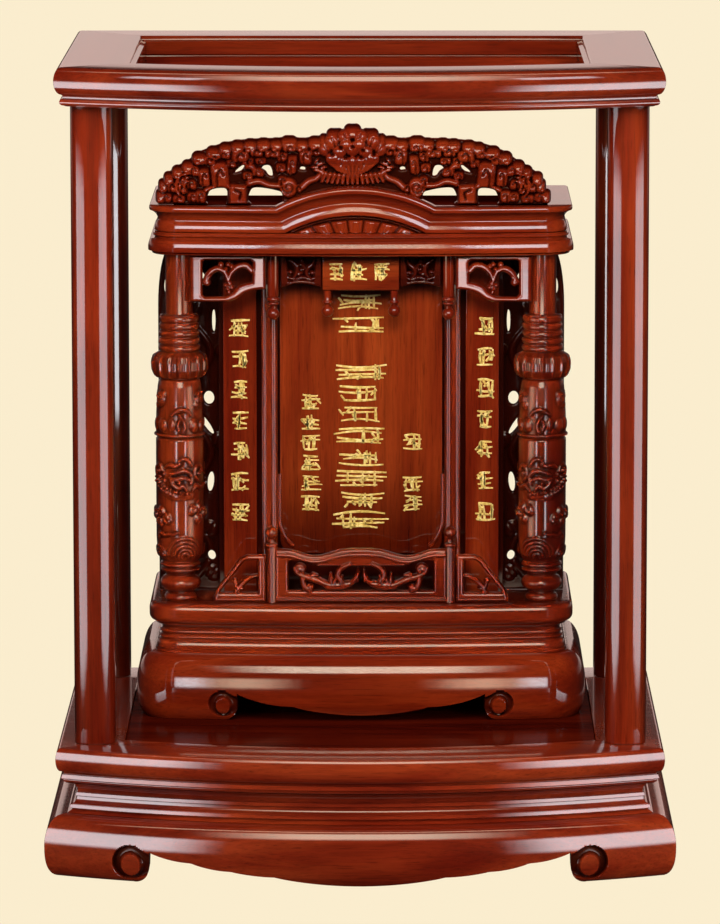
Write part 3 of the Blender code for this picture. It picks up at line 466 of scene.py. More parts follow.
TOP_RAIL_WIDTH = 0.046
TOP_INNER = -TOP_RAIL_WIDTH - 0.0035
TOP_PROFILE = [
    *half_round(0.5359, 0.0091, -0.0027, 0.0024, 24),
    *bend((-0.0030, 0.5264), (-0.0040, 0.5244), True, 5),
    *half_round(0.5219, 0.0024, -0.0042, -0.0013, 12),
    (-0.0050, 0.5191),
    (-0.0060, TOP_BOTTOM_Z),
    (TOP_INNER + 0.0006, TOP_BOTTOM_Z),
    (TOP_INNER, TOP_BOTTOM_Z + 0.0006),
    (TOP_INNER, 0.5296),
    *half_round(0.5312, 0.0013, TOP_INNER, TOP_INNER + 0.0017, 6)[::-1],
    (TOP_INNER, 0.5330),
    (TOP_INNER, 0.5410),
    *bend((TOP_INNER, 0.5414), (-TOP_RAIL_WIDTH, 0.5424), True, 4),
    (-TOP_RAIL_WIDTH, HEIGHT - 0.0006),
    (-TOP_RAIL_WIDTH + 0.0006, HEIGHT),
]

NOSE_BOTTOM_Z = 0.0714
NOSE_HALF_HEIGHT = (PLATFORM_TOP_Z - NOSE_BOTTOM_Z) / 2
RAIL_WIDTH = 0.041
PLATFORM_PROFILE = [
    *half_round(NOSE_BOTTOM_Z + NOSE_HALF_HEIGHT, NOSE_HALF_HEIGHT, 0.0013, 0.0046, 24),
    (-0.0008, 0.0711),
    (-0.0010, 0.0694),
    *fillet(0.0691, 0.0659, -0.0006, 0.0011, 0.0007),
    *bend((-0.0004, 0.0655), (-0.0026, PLATFORM_BOTTOM_Z), False, 6),
    (-RAIL_WIDTH, PLATFORM_BOTTOM_Z),
    (-RAIL_WIDTH, PLATFORM_TOP_Z - 0.0004),
    (-RAIL_WIDTH + 0.0004, PLATFORM_TOP_Z),
]

WAIST_WIDTH = 0.0280
WAIST_TOP_Z = PLATFORM_BOTTOM_Z - GAP
WAIST_BOTTOM_Z = SKIRT_TOP_Z + GAP
WAIST_PROFILE = [
    (-0.0022, WAIST_TOP_Z),
    *bend((-0.0026, 0.0630), (-0.0098, 0.0572), True, 12),
    (-0.0098, 0.0560),
    *fillet(0.0556, 0.0532, -0.0092, -0.0082),
    *bend((-0.0094, 0.0530), (-0.0062, 0.0486), False, 10),
    *fillet(0.0478, 0.0454, -0.0062, -0.0044),
    (-0.0062, 0.0446),
    (-0.0030, WAIST_BOTTOM_Z),
    (-WAIST_WIDTH, WAIST_BOTTOM_Z),
    (-WAIST_WIDTH, WAIST_TOP_Z),
]

FOOT_LENGTH = 0.0592
FOOT_ROLL_RADIUS = 0.0125
SKIRT_THICKNESS = 0.012
CASE_FULLEST_Z = 0.0215
SKIRT_SPLIT_Z = 0.0236
CASE_SCALLOPS = ((0.20, 0.0169), (0.39, 0.0121), (0.60, 0.0090), (1.0, 0.0030))
CASE_SCALLOP_START = 0.0228
SKIRT_MITRE_LENGTH = 0.030
GROOVE_DEPTH = 0.0044
SCROLL_TURNS = (-180, -135, -90, -50, -25, 0, 25, 45, 60, 90, 135, 180)
SCROLL_INNER = (0.50, 0.55, 0.61, 0.58, 0.52, 0.48, 0.50, 0.54, 0.57, 0.60, 0.56, 0.50)
SCROLL_OUTER = (1.01, 0.87, 0.78, 0.84, 1.10, 1.60, 1.28, 1.06, 1.02, 1.10, 1.10, 1.01)


def scroll_cut(across, up, radius):
    """Depth of the groove that winds round a foot's scroll and runs out at its inner side.

    across points to the middle of the board.
    """
    turn = np.degrees(np.arctan2(up, across))
    inner = np.interp(turn, SCROLL_TURNS, SCROLL_INNER) * radius
    outer = np.interp(turn, SCROLL_TURNS, SCROLL_OUTER) * radius
    q = np.clip(np.abs(2 * np.hypot(across, up) - inner - outer) / (outer - inner), 0, 1)
    return GROOVE_DEPTH * (1 - q**5) * radius / FOOT_ROLL_RADIUS


def split_levels(edge, split, top, below, above):
    """Heights up a skirt's face, split at one level so that neighbouring sections match."""
    return np.concatenate([np.linspace(edge, split, below, endpoint=False), np.linspace(split, top, above)])


def half_length_of(side):
    return CASE_HALF_WIDTH if side in ("front", "back") else CORNER_DEPTH / 2


def skirt_point(side, place, offset):
    """A point of a skirt's plan, at a distance from the middle of its side and mitred at its ends."""
    half_length = half_length_of(side)
    square = half_length - SKIRT_MITRE_LENGTH
    turn = max(0.0, (abs(place) - square) / SKIRT_MITRE_LENGTH)
    sign = 1 if place > 0 else -1
    end_x, end_y = case_point(side, sign, offset)
    if side in ("front", "back"):
        x = sign * (min(abs(place), square) * (1 - turn) + np.abs(end_x) * turn)
        return x, front_y(x, offset) if side == "front" else BACK_Y + offset + 0 * x
    middle = (FRONT_CORNER_Y + BACK_Y) / 2
    return end_x, (middle + sign * min(abs(place), square)) * (1 - turn) + end_y * turn


def case_skirt(side):
    """A swelling board with a scalloped lower edge and a scroll cut into each foot."""
    half_length = half_length_of(side)
    inner = half_length - FOOT_LENGTH
    eye = inner + FOOT_ROLL_RADIUS
    apron = np.linspace(0, inner - 0.0002, 70)
    scroll = np.linspace(inner + 0.0002, eye + 0.0150, 60)
    rest = np.linspace(eye + 0.0160, half_length, 12)
    distances = np.concatenate([apron, scroll, rest])
    places = np.concatenate([-distances[:0:-1], distances])
    rings, cavities = [], []
    for place in places:
        away = abs(place)
        if away < inner:
            edge = scallops(1 - away / inner, CASE_SCALLOP_START, CASE_SCALLOPS)
        else:
            across = max(0.0, eye - away)
            edge = FOOT_ROLL_RADIUS - math.sqrt(max(0.0, FOOT_ROLL_RADIUS**2 - across**2))
        z = split_levels(edge, SKIRT_SPLIT_Z, SKIRT_TOP_Z, 34, 24)
        cut = scroll_cut(eye - away, z - 1.05 * FOOT_ROLL_RADIUS, FOOT_ROLL_RADIUS) if away > inner else 0 * z
        offset = swell(z, SKIRT_TOP_Z, CASE_FULLEST_Z, 0.0, SKIRT_SWELL) - cut
        offset = np.concatenate([offset, [-SKIRT_THICKNESS, -SKIRT_THICKNESS]])
        z = np.concatenate([z, [SKIRT_TOP_Z, edge]])
        x, y = skirt_point(side, place, offset)
        rings.append(np.stack([x + 0 * z, y + 0 * z, z], 1))
        # The scroll's groove takes painted shade by its depth.
        cavities.append(np.concatenate([cut / GROOVE_DEPTH, [0, 0]]))
    return loft(rings), 0.9 * np.concatenate(cavities)


def rounded_square(half, radius):
    steps = 10
    points = []
    for corner in range(4):
        cx = (half - radius) * (1 if corner in (0, 3) else -1)
        cy = (half - radius) * (1 if corner in (0, 1) else -1)
        for i in range(steps + 1):
            angle = corner * math.pi / 2 + math.pi / 2 * i / steps
            points.append((cx + radius * math.cos(angle), cy + radius * math.sin(angle)))
    return np.array(points)


def case_post(name):
    """A square post with rounded corners and softened ends."""
    start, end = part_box(name)
    half = (end.x - start.x) / 2
    centre = (start + end) / 2
    section = rounded_square(half, 0.0098)
    rings = []
    for z, inset in ((start.z, 0.0003), (start.z + 0.0008, 0.0), (end.z - 0.0008, 0.0), (end.z, 0.0003)):
        rings.append([(centre.x + x, centre.y + y, z) for x, y in section * (1 - inset / half)])
    return loft(rings)


def build_case():
    for side in SIDES:
        wood = WOOD_X if side in ("front", "back") else WOOD_Y
        piece(f"top_rail_{side}", case_rail(side, TOP_PROFILE), wood, [f"case_top_rail_{side}"])
        platform = [f"case_platform_rail_{side}"]
        piece(f"platform_rail_{side}", case_rail(side, PLATFORM_PROFILE), wood, platform)
        waist = [f"case_waist_moulding_{side}"]
        piece(f"waist_moulding_{side}", case_rail(side, WAIST_PROFILE), wood, waist)
        body, cavity = case_skirt(side)
        piece(f"skirt_{side}", body, wood, [f"case_skirt_{side}"], cavity=cavity)
    for name in ("front_left", "front_right", "back_left", "back_right"):
        piece(f"post_{name}", case_post(f"case_post_{name}"), WOOD_Z, [f"case_post_{name}"])


# The tablet's plan: a shallow bow, two rounded front corners and a flat back


TABLET_BOW_RADIUS = (TABLET_HALF_WIDTH**2 + TABLET_BOW**2) / (2 * TABLET_BOW)
TABLET_CENTRE_Y = TABLET_FRONT_Y + TABLET_BOW_RADIUS
CORNER_X = TABLET_HALF_WIDTH - TABLET_CORNER_RADIUS
INNER_RADIUS = TABLET_BOW_RADIUS - TABLET_CORNER_RADIUS
CORNER_ANGLE = math.asin(CORNER_X / INNER_RADIUS)
CORNER_Y = TABLET_CENTRE_Y - INNER_RADIUS * math.cos(CORNER_ANGLE)


def tablet_front_y(x, offset):
    return TABLET_CENTRE_Y - np.sqrt((TABLET_BOW_RADIUS + offset) ** 2 - x * x)


def bow_point(x, offset):
    """A point square out from the inner bow at x."""
    angle = math.asin(x / INNER_RADIUS)
    radius = TABLET_BOW_RADIUS + offset
    return radius * math.sin(angle), TABLET_CENTRE_Y - radius * math.cos(angle)


def corner_point(turn, offset, sign):
    """A point of a rounded front corner, where turn runs from 0 at the bow to 1 at the side."""
    angle = CORNER_ANGLE + (math.pi / 2 - CORNER_ANGLE) * turn
    radius = TABLET_CORNER_RADIUS + offset
    return sign * (CORNER_X + radius * math.sin(angle)), CORNER_Y - radius * math.cos(angle)


def tablet_path(xs):
    """The front and sides of the plan, left to right, as functions of an offset."""
    turns = 14
    corner = [i / turns for i in range(1, turns + 1)]
    path = [lambda offset: (-TABLET_HALF_WIDTH - offset, TABLET_BACK_Y + 0 * offset)]
    path += [lambda offset, t=t: corner_point(t, offset, -1) for t in reversed(corner)]
    path += [lambda offset, x=x: bow_point(x, offset) for x in xs]
    path += [lambda offset, t=t: corner_point(t, offset, 1) for t in corner]
    path += [lambda offset: (TABLET_HALF_WIDTH + offset, TABLET_BACK_Y + 0 * offset)]
    return path


def tablet_board(rows):
    """A solid moulded board from rows of (offset, height), its underside to its top."""
    offset, z = np.array(rows).T
    outlines = [point(offset) for point in tablet_path(np.linspace(-CORNER_X, CORNER_X, 41))]
    rings = np.array([np.stack([x + 0 * z, y, z], 1) for x, y in outlines])
    return loft(np.swapaxes(rings, 0, 1))


TABLET_SCALLOPS = ((0.455, 0.0100), (1.0, 0.0039))
TABLET_SCALLOP_START = 0.019
TABLET_FOOT_INNER_X = 0.0828
TABLET_ROLL_RADIUS = 0.0095
TABLET_SWELL = 0.0125
TABLET_SKIRT_BASE = -0.0035
TABLET_FULLEST_Z = 0.1085
TABLET_SKIRT_THICKNESS = 0.013
TABLET_SIDE_LIFT = 0.012
TABLET_SPLIT_Z = TABLET_SKIRT_BOTTOM_Z + 0.0198


def tablet_ring(point, edge, cut=None):
    """One section of the tablet's skirt at a place of its plan, with its lower edge raised."""
    bottom = TABLET_SKIRT_BOTTOM_Z + edge
    z = split_levels(bottom, TABLET_SPLIT_Z, TABLET_SKIRT_TOP_Z, 28, 18)
    curve_bottom = TABLET_SKIRT_BOTTOM_Z - 0.0035
    offset = swell(z, TABLET_SKIRT_TOP_Z, TABLET_FULLEST_Z, TABLET_SKIRT_BASE, TABLET_SWELL, curve_bottom)
    depth = cut(z) if cut else 0 * z
    inner = TABLET_SKIRT_BASE - TABLET_SKIRT_THICKNESS
    offset = np.concatenate([offset - depth, [inner, inner]])
    z = np.concatenate([z, [TABLET_SKIRT_TOP_Z, bottom]])
    x, y = point(offset)
    return np.stack([x + 0 * z, y + 0 * z, z], 1), np.concatenate([depth, [0, 0]])


def tablet_front_sections():
    """Sections of the tablet's skirt along its front, between the rounded corners."""
    inner, eye = TABLET_FOOT_INNER_X, TABLET_FOOT_INNER_X + TABLET_ROLL_RADIUS
    middle_z = TABLET_SKIRT_BOTTOM_Z + 1.05 * TABLET_ROLL_RADIUS
    apron = np.linspace(0, inner - 0.0002, 56)
    scroll = np.linspace(inner + 0.0002, eye + 0.0120, 44)
    rest = np.linspace(eye + 0.0135, CORNER_X, 8)
    half = np.concatenate([apron, scroll, rest])
    sections = []
    for x in np.concatenate([-half[:0:-1], half]):
        away = abs(x)
        cut = None
        if away < inner:
            edge = scallops(1 - away / inner, TABLET_SCALLOP_START, TABLET_SCALLOPS)
        else:
            across = max(0.0, eye - away)
            edge = TABLET_ROLL_RADIUS - math.sqrt(max(0.0, TABLET_ROLL_RADIUS**2 - across**2))
            cut = lambda z, u=eye - away: 1.1 * scroll_cut(u, z - middle_z, TABLET_ROLL_RADIUS)
        sections.append(tablet_ring(lambda offset, x=x: bow_point(x, offset), edge, cut))
    return sections


def tablet_side_sections():
    """Sections round the right-hand corner and along that side, whose lower edge is raised."""
    turns = np.linspace(0.07, 1, 14)
    sections = [tablet_ring(lambda offset, t=t: corner_point(t, offset, 1), 0.0) for t in turns]
    start, end = CORNER_Y + 0.020, TABLET_BACK_Y - 0.035
    rises = [(t, TABLET_SIDE_LIFT * (0.4 + 0.6 * math.sin(t * math.pi / 2))) for t in (0, 0.3, 0.6, 1)]
    lifts = [(start, 0.0), *((start + 0.0003 + 0.010 * t, lift) for t, lift in rises)]
    lifts += [(end - 0.0003 - 0.010 * t, lift) for t, lift in rises[::-1]]
    lifts += [(end, 0.0), (TABLET_BACK_Y, 0.0)]
    for y, lift in lifts:
        sections.append(tablet_ring(lambda offset, y=y: (TABLET_HALF_WIDTH + offset, y + 0 * offset), lift))
    sections[-1][0][-2:, 1] -= TABLET_SKIRT_THICKNESS
    return sections


def tablet_skirt():
    side = tablet_side_sections()
    other_side = [(ring * (-1, 1, 1), depth) for ring, depth in reversed(side)]
    rings, depths = zip(*tablet_front_sections(), *side, *other_side)
    # The scroll grooves take painted shade by their depth.
    return loft(rings, closed=True), np.concatenate(depths) / GROOVE_DEPTH


TABLET_WAIST_ROWS = [
    (-0.0042, TABLET_SKIRT_TOP_Z + GAP),
    (-0.0042, 0.1330),
    (-0.0050, 0.1334),
    *bend((-0.0050, 0.1344), (-0.0076, 0.1392), False, 8),
    (-0.0076, 0.1402),
    *half_round(0.1413, 0.0010, -0.0078, -0.0064, 6)[::-1],
    (-0.0084, 0.1427),
    (-0.0084, 0.1436),
    *half_round(0.1448, 0.0011, -0.0084, -0.0070, 6)[::-1],
    (-0.0088, 0.1462),
    *bend((-0.0088, 0.1472), (-0.0058, 0.1497), False, 6),
    (-0.0050, 0.1500),
    (-0.0050, 0.1512),
]
SLAB_ROWS = [
    (-0.0060, low("tablet_slab").z),
    *bend((-0.0042, low("tablet_slab").z), (0.0, 0.1562), True, 8),
    (0.0, 0.1598),
    *bend((0.0, 0.1602), (-0.0034, SLAB_TOP_Z), False, 8),
]


def build_tablet_base():
    body, cavity = tablet_skirt()
    piece("base_skirt", body, WOOD_X, ["tablet_skirt"], cavity=cavity)
    piece("base_waist", tablet_board(TABLET_WAIST_ROWS), WOOD_X, ["tablet_waist"])
    piece("base_slab", tablet_board(SLAB_ROWS), WOOD_X, ["tablet_slab"])


# Cornice


ARCH_X = -0.0035
ARCH_HALF_WIDTH = 0.0545
ARCH_RISE = 0.0138
ARCH_FOOT_SHARE = 0.88
UPPER_BOTTOM_Z = low("cornice_upper_moulding").z
STRIP_BACK = -0.018


def arch_lift(x, weight):
    """Rise of the arched cornice at x: weight is 0 on its lower edge and 1 on its lip."""
    share = ARCH_FOOT_SHARE + (1 - ARCH_FOOT_SHARE) * weight
    half, rise = ARCH_HALF_WIDTH * share, ARCH_RISE * share
    away = np.minimum(np.abs(x - ARCH_X), half)
    radius = (half**2 + rise**2) / (2 * rise)
    return np.sqrt(radius**2 - away**2) - (radius - rise)


CORNICE_ROWS = [
    (-0.0060, UPPER_BOTTOM_Z, 0.0),
    (-0.0052, UPPER_BOTTOM_Z + 0.0004, 0.01),
    (-0.0050, 0.4228, 0.02),
    (-0.0051, 0.4243, 0.10),
    (-0.0054, 0.4258, 0.18),
    (-0.0060, 0.4273, 0.26),
    (-0.0067, 0.4287, 0.33),
    (-0.0071, 0.4292, 0.36),
    (-0.0072, 0.4300, 0.40),
    (-0.0068, 0.4316, 0.50),
    (-0.0060, 0.4331, 0.59),
    (-0.0047, 0.4345, 0.67),
    (-0.0030, 0.4355, 0.74),
    (-0.0020, 0.4358, 0.76),
    (-0.0016, 0.4360, 0.79),
    (-0.0013, 0.4368, 0.83),
    (-0.0013, 0.4382, 0.91),
    (-0.0017, 0.4390, 0.96),
    (-0.0026, CORNICE_TOP_Z - 0.0002, 0.99),
    (-0.0036, CORNICE_TOP_Z, 1.0),
    (STRIP_BACK, CORNICE_TOP_Z, 1.0),
    (STRIP_BACK, UPPER_BOTTOM_Z, 0.0),
]


def cornice_upper():
    """The cavetto and lip, one strip round the front and sides, raised in an arch at the middle."""
    offset, z, weight = np.array(CORNICE_ROWS).T
    arch = ARCH_X + ARCH_HALF_WIDTH * np.sin(np.linspace(-math.pi / 2, math.pi / 2, 73))
    outer = np.linspace(ARCH_HALF_WIDTH + 0.006, CORNER_X, 12)
    path = tablet_path(np.concatenate([-outer[::-1], outer]))
    middle = len(path) // 2
    points = path[:middle] + [lambda o, x=x: (x + 0 * o, tablet_front_y(x, o)) for x in arch] + path[middle:]
    rings = []
    for point in points:
        x, y = point(offset)
        x = x + 0 * z
        rings.append(np.stack([x, y + 0 * z, z + arch_lift(x, weight)], 1))
    return loft(rings)


def rolled(bottom, top, fullest, radius, outer):
    """Rows of a broad shallow roll of a given radius, fullest (and furthest out) at one height."""
    centre = outer - radius
    return [(centre + math.sqrt(radius**2 - (z - fullest) ** 2), z) for z in np.linspace(bottom, top, 12)]


CORNICE_LOWER_ROWS = [
    (-0.0060, CORNICE_BOTTOM_Z),
    *half_round(CORNICE_BOTTOM_Z + 0.0009, 0.0009, -0.0050, -0.0030, 6)[::-1],
    (-0.0030, CORNICE_BOTTOM_Z + 0.0018),
    *rolled(CORNICE_BOTTOM_Z + 0.0024, 0.4160, 0.4102, 0.0120, -0.0004),
    (-0.0045, 0.4166),
    (-0.0050, 0.4170),
    (-0.0050, 0.4184),
    *half_round(0.4194, 0.0009, -0.0050, -0.0037, 6)[::-1],
    (-0.0050, 0.4205),
    (-0.0050, CORNICE_MIDDLE_Z),
]


FAN_RIB_ANGLE = 0.270


def fan_under_arch():
    """Radiating leaf ribs that fill the space under the arch, parted by deep cuts, under a small bead."""
    start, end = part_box("arch_fan")
    half = (end.x - start.x) / 2
    centre_z = start.z - 0.75 * half
    columns, cavities = [], []
    for x in np.linspace(start.x, end.x, 301):
        top = UPPER_BOTTOM_Z + arch_lift(np.array(x), 0.0) - 2 * GAP
        z = np.linspace(start.z, top, 34)
        ray = np.arctan2(x - ARCH_X, z - centre_z)
        rib = np.abs((ray / FAN_RIB_ANGLE + 0.5) % 1.0 - 0.5) * 2
        gap = np.clip((1 - rib) / 0.22, 0, 1)
        below_top = top - z
        bead = np.sqrt(np.clip(1 - ((below_top - 0.0012) / 0.0010) ** 2, 0, 1))
        share = np.clip((below_top - 0.0026) / 0.0020, 0, 1)
        leaf = (0.30 + 0.70 * np.cos(0.5 * math.pi * rib)) * gap * np.sqrt(share * (2 - share))
        stand = np.maximum(0.0034 * leaf, 0.0018 * bead)
        y = tablet_front_y(x, -0.0100) + 0.0036 - stand
        back = tablet_front_y(x, STRIP_BACK)
        ring = np.stack([x + 0 * z, y, z], 1)
        columns.append(np.concatenate([ring, [(x, back, top), (x, back, start.z)]]))
        # Painted shade in the cuts between the ribs and under the bead.
        cavities.append(np.concatenate([1 - np.clip(np.maximum(gap * share, bead) * 1.4, 0, 1), [0, 0]]))
    return loft(columns), np.concatenate(cavities)


def cornice_top():
    """The dark board over the cornice, without gloss: painted shade. Its rear half lies lower, out of sight
    from the front.
    """
    start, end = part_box("cornice_top_board")
    step_y = start.y + 0.062
    low_z = max(start.z + 0.0010, end.z - 0.0100)
    side = [(start.y, start.z), (end.y, start.z), (end.y, low_z), (step_y + 0.001, low_z)]
    side += [(step_y, low_z + 0.001), (step_y, end.z - 0.0004), (step_y - 0.0004, end.z)]
    side += [(start.y + 0.0004, end.z), (start.y, end.z - 0.0004)]
    return loft([[(x, y, z) for y, z in side] for x in (start.x, end.x)])


def build_cornice():
    piece("cornice_lower", tablet_board(CORNICE_LOWER_ROWS), WOOD_X, ["cornice_lower_member"])
    piece("cornice_upper", cornice_upper(), WOOD_X, ["cornice_upper_moulding"])
    piece("cornice_roof", cornice_top(), DULL_WOOD, ["cornice_top_board"])
    body, cavity = fan_under_arch()
    piece("fan", body, FAN_WOOD, ["arch_fan"], 60, cavity)


# Carved relief: heights and a solid field on a grid of x and z


class Relief:
    """A grid of heights over a flat or rolled face. solid is the distance in from the carved outline."""

    def __init__(self, x_range, z_range, step):
        self.step = step
        self.xs = np.arange(x_range[0], x_range[1] + step, step)
        self.zs = np.arange(z_range[0], z_range[1] + step, step)
        self.x, self.z = np.meshgrid(self.xs, self.zs, indexing="ij")
        self.height = np.zeros_like(self.x)
        self.solid = np.full_like(self.x, -1.0)
        self.shadow_depth = 0.0

    def window(self, x, z, reach):
        def span(values, place):
            start, end = (int((place + way * reach - values[0]) / self.step) for way in (-1, 1))
            return slice(max(0, start), max(0, end) + 2)

        return span(self.xs, x), span(self.zs, z)

    def stroke(self, points, widths, stand, base=0.0, solid=True):
        """A rounded ridge along a curve, once hollows are levelled. widths and stand may change along it."""
        self.height = np.maximum(self.height, 0)
        path = curve_through(points)
        lengths = along_path(path)
        total = max(lengths[-1], 1e-6)
        widths, stands = np.atleast_1d(widths), np.atleast_1d(stand)
        spacing = max(0.45 * float(min(widths.min() * 1.5, widths.max())), 0.7 * self.step)
        for t in np.linspace(0, 1, max(1, int(total / spacing) + 1) + 1):
            x, z = (np.interp(t * total, lengths, values) for values in path.T)
            r, h = (np.interp(t, np.linspace(0, 1, len(values)), values) for values in (widths, stands))
            w = self.window(x, z, r)
            d = np.hypot(self.x[w] - x, self.z[w] - z)
            q = np.minimum(d / r, 1)
            self.height[w] = np.maximum(self.height[w], np.where(q < 1, base + h * np.sqrt(1 - q * q), 0))
            if solid:
                self.solid[w] = np.maximum(self.solid[w], r - d)

    def strokes(self, rows, side=1, shift=0.0):
        """Ridges drawn in millimetres: rows of points, widths, stand and base."""
        for points, widths, stand, base in mm(rows):
            self.stroke([(shift + side * x, z) for x, z in points], widths, stand, base)

    def domes(self, rows, side=1, shift=0.0):
        """Domes drawn in millimetres: rows of x, z, radius across, radius up, stand and base."""
        for x, z, rx, rz, stand, base in mm(rows):
            self.dome(shift + side * x, z, rx, rz, stand, base=base)

    def dome(self, x, z, rx, rz, stand, turn=0.0, solid=True, base=0.0, power=0.5):
        w = self.window(x, z, max(rx, rz))
        c, s = math.cos(turn), math.sin(turn)
        dx, dz = self.x[w] - x, self.z[w] - z
        q = np.hypot((dx * c + dz * s) / rx, (-dx * s + dz * c) / rz)
        top = np.where(q < 1, base + stand * np.clip(1 - q * q, 0, 1) ** power, 0)
        self.height[w] = np.maximum(self.height[w], top)
        if solid:
            self.solid[w] = np.maximum(self.solid[w], (1 - q) * min(rx, rz))

    def groove(self, points, width, depth):
        """A rounded furrow along a curve."""
        path = curve_through(points)
        lengths = along_path(path)
        near = np.ones_like(self.height)
        for t in np.linspace(0, lengths[-1], max(2, int(lengths[-1] / (0.6 * self.step)))):
            x, z = np.interp(t, lengths, path[:, 0]), np.interp(t, lengths, path[:, 1])
            w = self.window(x, z, width)
            near[w] = np.minimum(near[w], np.hypot(self.x[w] - x, self.z[w] - z) / width)
        self.height -= depth * (1 - np.clip(near, 0, 1) ** 2)

    def polygon(self, outline):
        """Signed distance to an outline, positive inside."""
        outline = np.asarray(outline, float)
        best = np.full_like(self.x, 1.0)
        inside = np.zeros(self.x.shape, bool)
        for (x0, z0), (x1, z1) in zip(outline, np.roll(outline, -1, 0)):
            dx, dz = x1 - x0, z1 - z0
            t = np.clip(((self.x - x0) * dx + (self.z - z0) * dz) / max(dx * dx + dz * dz, 1e-12), 0, 1)
            best = np.minimum(best, np.hypot(self.x - x0 - t * dx, self.z - z0 - t * dz))
            if z0 != z1:
                crosses = (z0 > self.z) != (z1 > self.z)
                inside ^= crosses & (self.x < (x1 - x0) * (self.z - z0) / (z1 - z0) + x0)
        return np.where(inside, best, -best)

    def cavity(self, reach=4, gain=900.0):
        """How deep each place lies below what surrounds it, from 0 to 1, kept as the painted shade of its
        hollows.
        """
        shown = np.where(self.solid > -0.002, self.height, 0)
        around = box_blur(box_blur(shown, reach), reach)
        found = (around - shown) * gain
        if self.shadow_depth:
            found = np.maximum(found, 1.3 - shown / self.shadow_depth)
        return np.clip(found, 0, 1)


def box_blur(values, reach):
    for axis in (0, 1):
        padded = np.pad(values, [(reach + 1, reach) if a == axis else (0, 0) for a in (0, 1)], mode="edge")
        sums = np.cumsum(padded, axis=axis)
        size = 2 * reach + 1
        high_part = np.take(sums, range(size, sums.shape[axis]), axis=axis)
        low_part = np.take(sums, range(0, sums.shape[axis] - size), axis=axis)
        values = (high_part - low_part) / size
    return values


def curve_through(points, steps=8):
    """A smooth curve through points (Catmull-Rom)."""
    points = np.asarray(points, float).reshape(-1, 2)
    if len(points) < 3:
        return points if len(points) > 1 else np.repeat(points, 2, 0)
    ends = np.concatenate([[2 * points[0] - points[1]], points, [2 * points[-1] - points[-2]]])
    found = []
    for a, b, c, d in zip(ends, ends[1:], ends[2:], ends[3:]):
        for t in np.arange(steps) / steps:
            square, cube = 2 * a - 5 * b + 4 * c - d, 3 * b - a - 3 * c + d
            found.append(0.5 * (2 * b + (c - a) * t + square * t**2 + cube * t**3))
    found.append(points[-1])
    return np.array(found)


def along_path(path):
    """Distances from a path's start to each of its points."""
    return np.concatenate([[0], np.cumsum(np.hypot(*np.diff(path, axis=0).T))])


def spiral(x, z, start_radius, end_radius, start_turn, turns):
    """Points of a curl that winds in towards (x, z). turns is signed."""
    points = []
    for t in np.linspace(0, 1, 14):
        radius = start_radius + (end_radius - start_radius) * t
        angle = start_turn + 2 * math.pi * turns * t
        points.append((x + radius * math.cos(angle), z + radius * math.sin(angle)))
    return points


EDGE_DROP = 0.0008
# Painted shade along the carved outline's edges.
RIM_SHADE = 0.3


class Plate:
    """The carved face of a relief as vertices: corners of its cells, and crossings of its outline."""

    def __init__(self, relief, y_front, round_edge):
        self.solid, self.xs, self.zs = relief.solid, relief.xs, relief.zs
        for side in (0, -1):
            self.solid[side, :] = self.solid[:, side] = -1.0
        rise = 1 - np.clip(self.solid / round_edge, 0, 1)
        rounding = np.sqrt(np.clip(1 - rise**2, 0, 1))
        self.stand = relief.height * rounding - EDGE_DROP * (1 - rounding)
        self.y_front = y_front
        self.cavity = relief.cavity()
        self.verts, self.cavities, self.ids = [], [], {}

    def numbered(self, key, vert, cavity):
        """The number of the vertex with a key, which is added the first time."""
        if key not in self.ids:
            self.ids[key] = len(self.verts)
            self.verts.append(vert)
            self.cavities.append(cavity)
        return self.ids[key]

    def corner(self, i, j):
        vert = (self.xs[i], self.y_front - self.stand[i, j], self.zs[j])
        return self.numbered((i, j), vert, self.cavity[i, j])

    def crossing(self, first, second):
        (a, b), (c, d) = sorted((first, second))
        t = self.solid[a, b] / (self.solid[a, b] - self.solid[c, d])
        t = min(0.98, max(0.02, t))
        x, z = self.xs[a] + (self.xs[c] - self.xs[a]) * t, self.zs[b] + (self.zs[d] - self.zs[b]) * t
        return self.numbered((a, b, c, d), (x, self.y_front + EDGE_DROP, z), RIM_SHADE)

    def cell(self, corners):
        """The part of a cell that lies inside the outline, and its edges along the outline."""
        face, leaving = [], []
        for here, ahead in zip(corners, corners[1:] + corners[:1]):
            inside, inside_ahead = self.solid[here] > 0, self.solid[ahead] > 0
            if inside:
                face.append(self.corner(*here))
            if inside != inside_ahead:
                if inside:
                    leaving.append(len(face))
                face.append(self.crossing(here, ahead))
        return face, [(face[k], face[(k + 1) % len(face)]) for k in leaving]


def carved_plate(relief, y_front, y_back, round_edge):
    """A closed body from a relief: carved face, rounded edges, walls and a flat back. Gives the painted shade
    of its hollows too.
    """
    plate = Plate(relief, y_front, round_edge)
    inside = plate.solid > 0
    any_inside = inside[:-1, :-1] | inside[1:, :-1] | inside[:-1, 1:] | inside[1:, 1:]
    faces, rims = [], []
    for i, j in zip(*np.nonzero(any_inside)):
        face, edges = plate.cell([(i, j), (i + 1, j), (i + 1, j + 1), (i, j + 1)])
        faces.append(face)
        rims += edges
    count = len(plate.verts)
    front = np.array(plate.verts)
    back = front.copy()
    back[:, 1] = y_back
    walls = [(a, b, b + count, a + count) for a, b in rims]
    backs = [[i + count for i in reversed(face)] for face in faces]
    cavities = np.concatenate([plate.cavities, np.zeros(count)])
    return (np.concatenate([front, back]), faces + walls + backs), cavities


def carving(name, relief, y_front, y_back, material, nodes, round_edge=0.0012):
    body, cavity = carved_plate(relief, y_front, y_back, round_edge)
    piece(name, body, material, nodes, smooth=50, cavity=cavity)


# Crown: leaf lobes and scrolling stems round a flower head. Places are (x, height) over the crown's foot


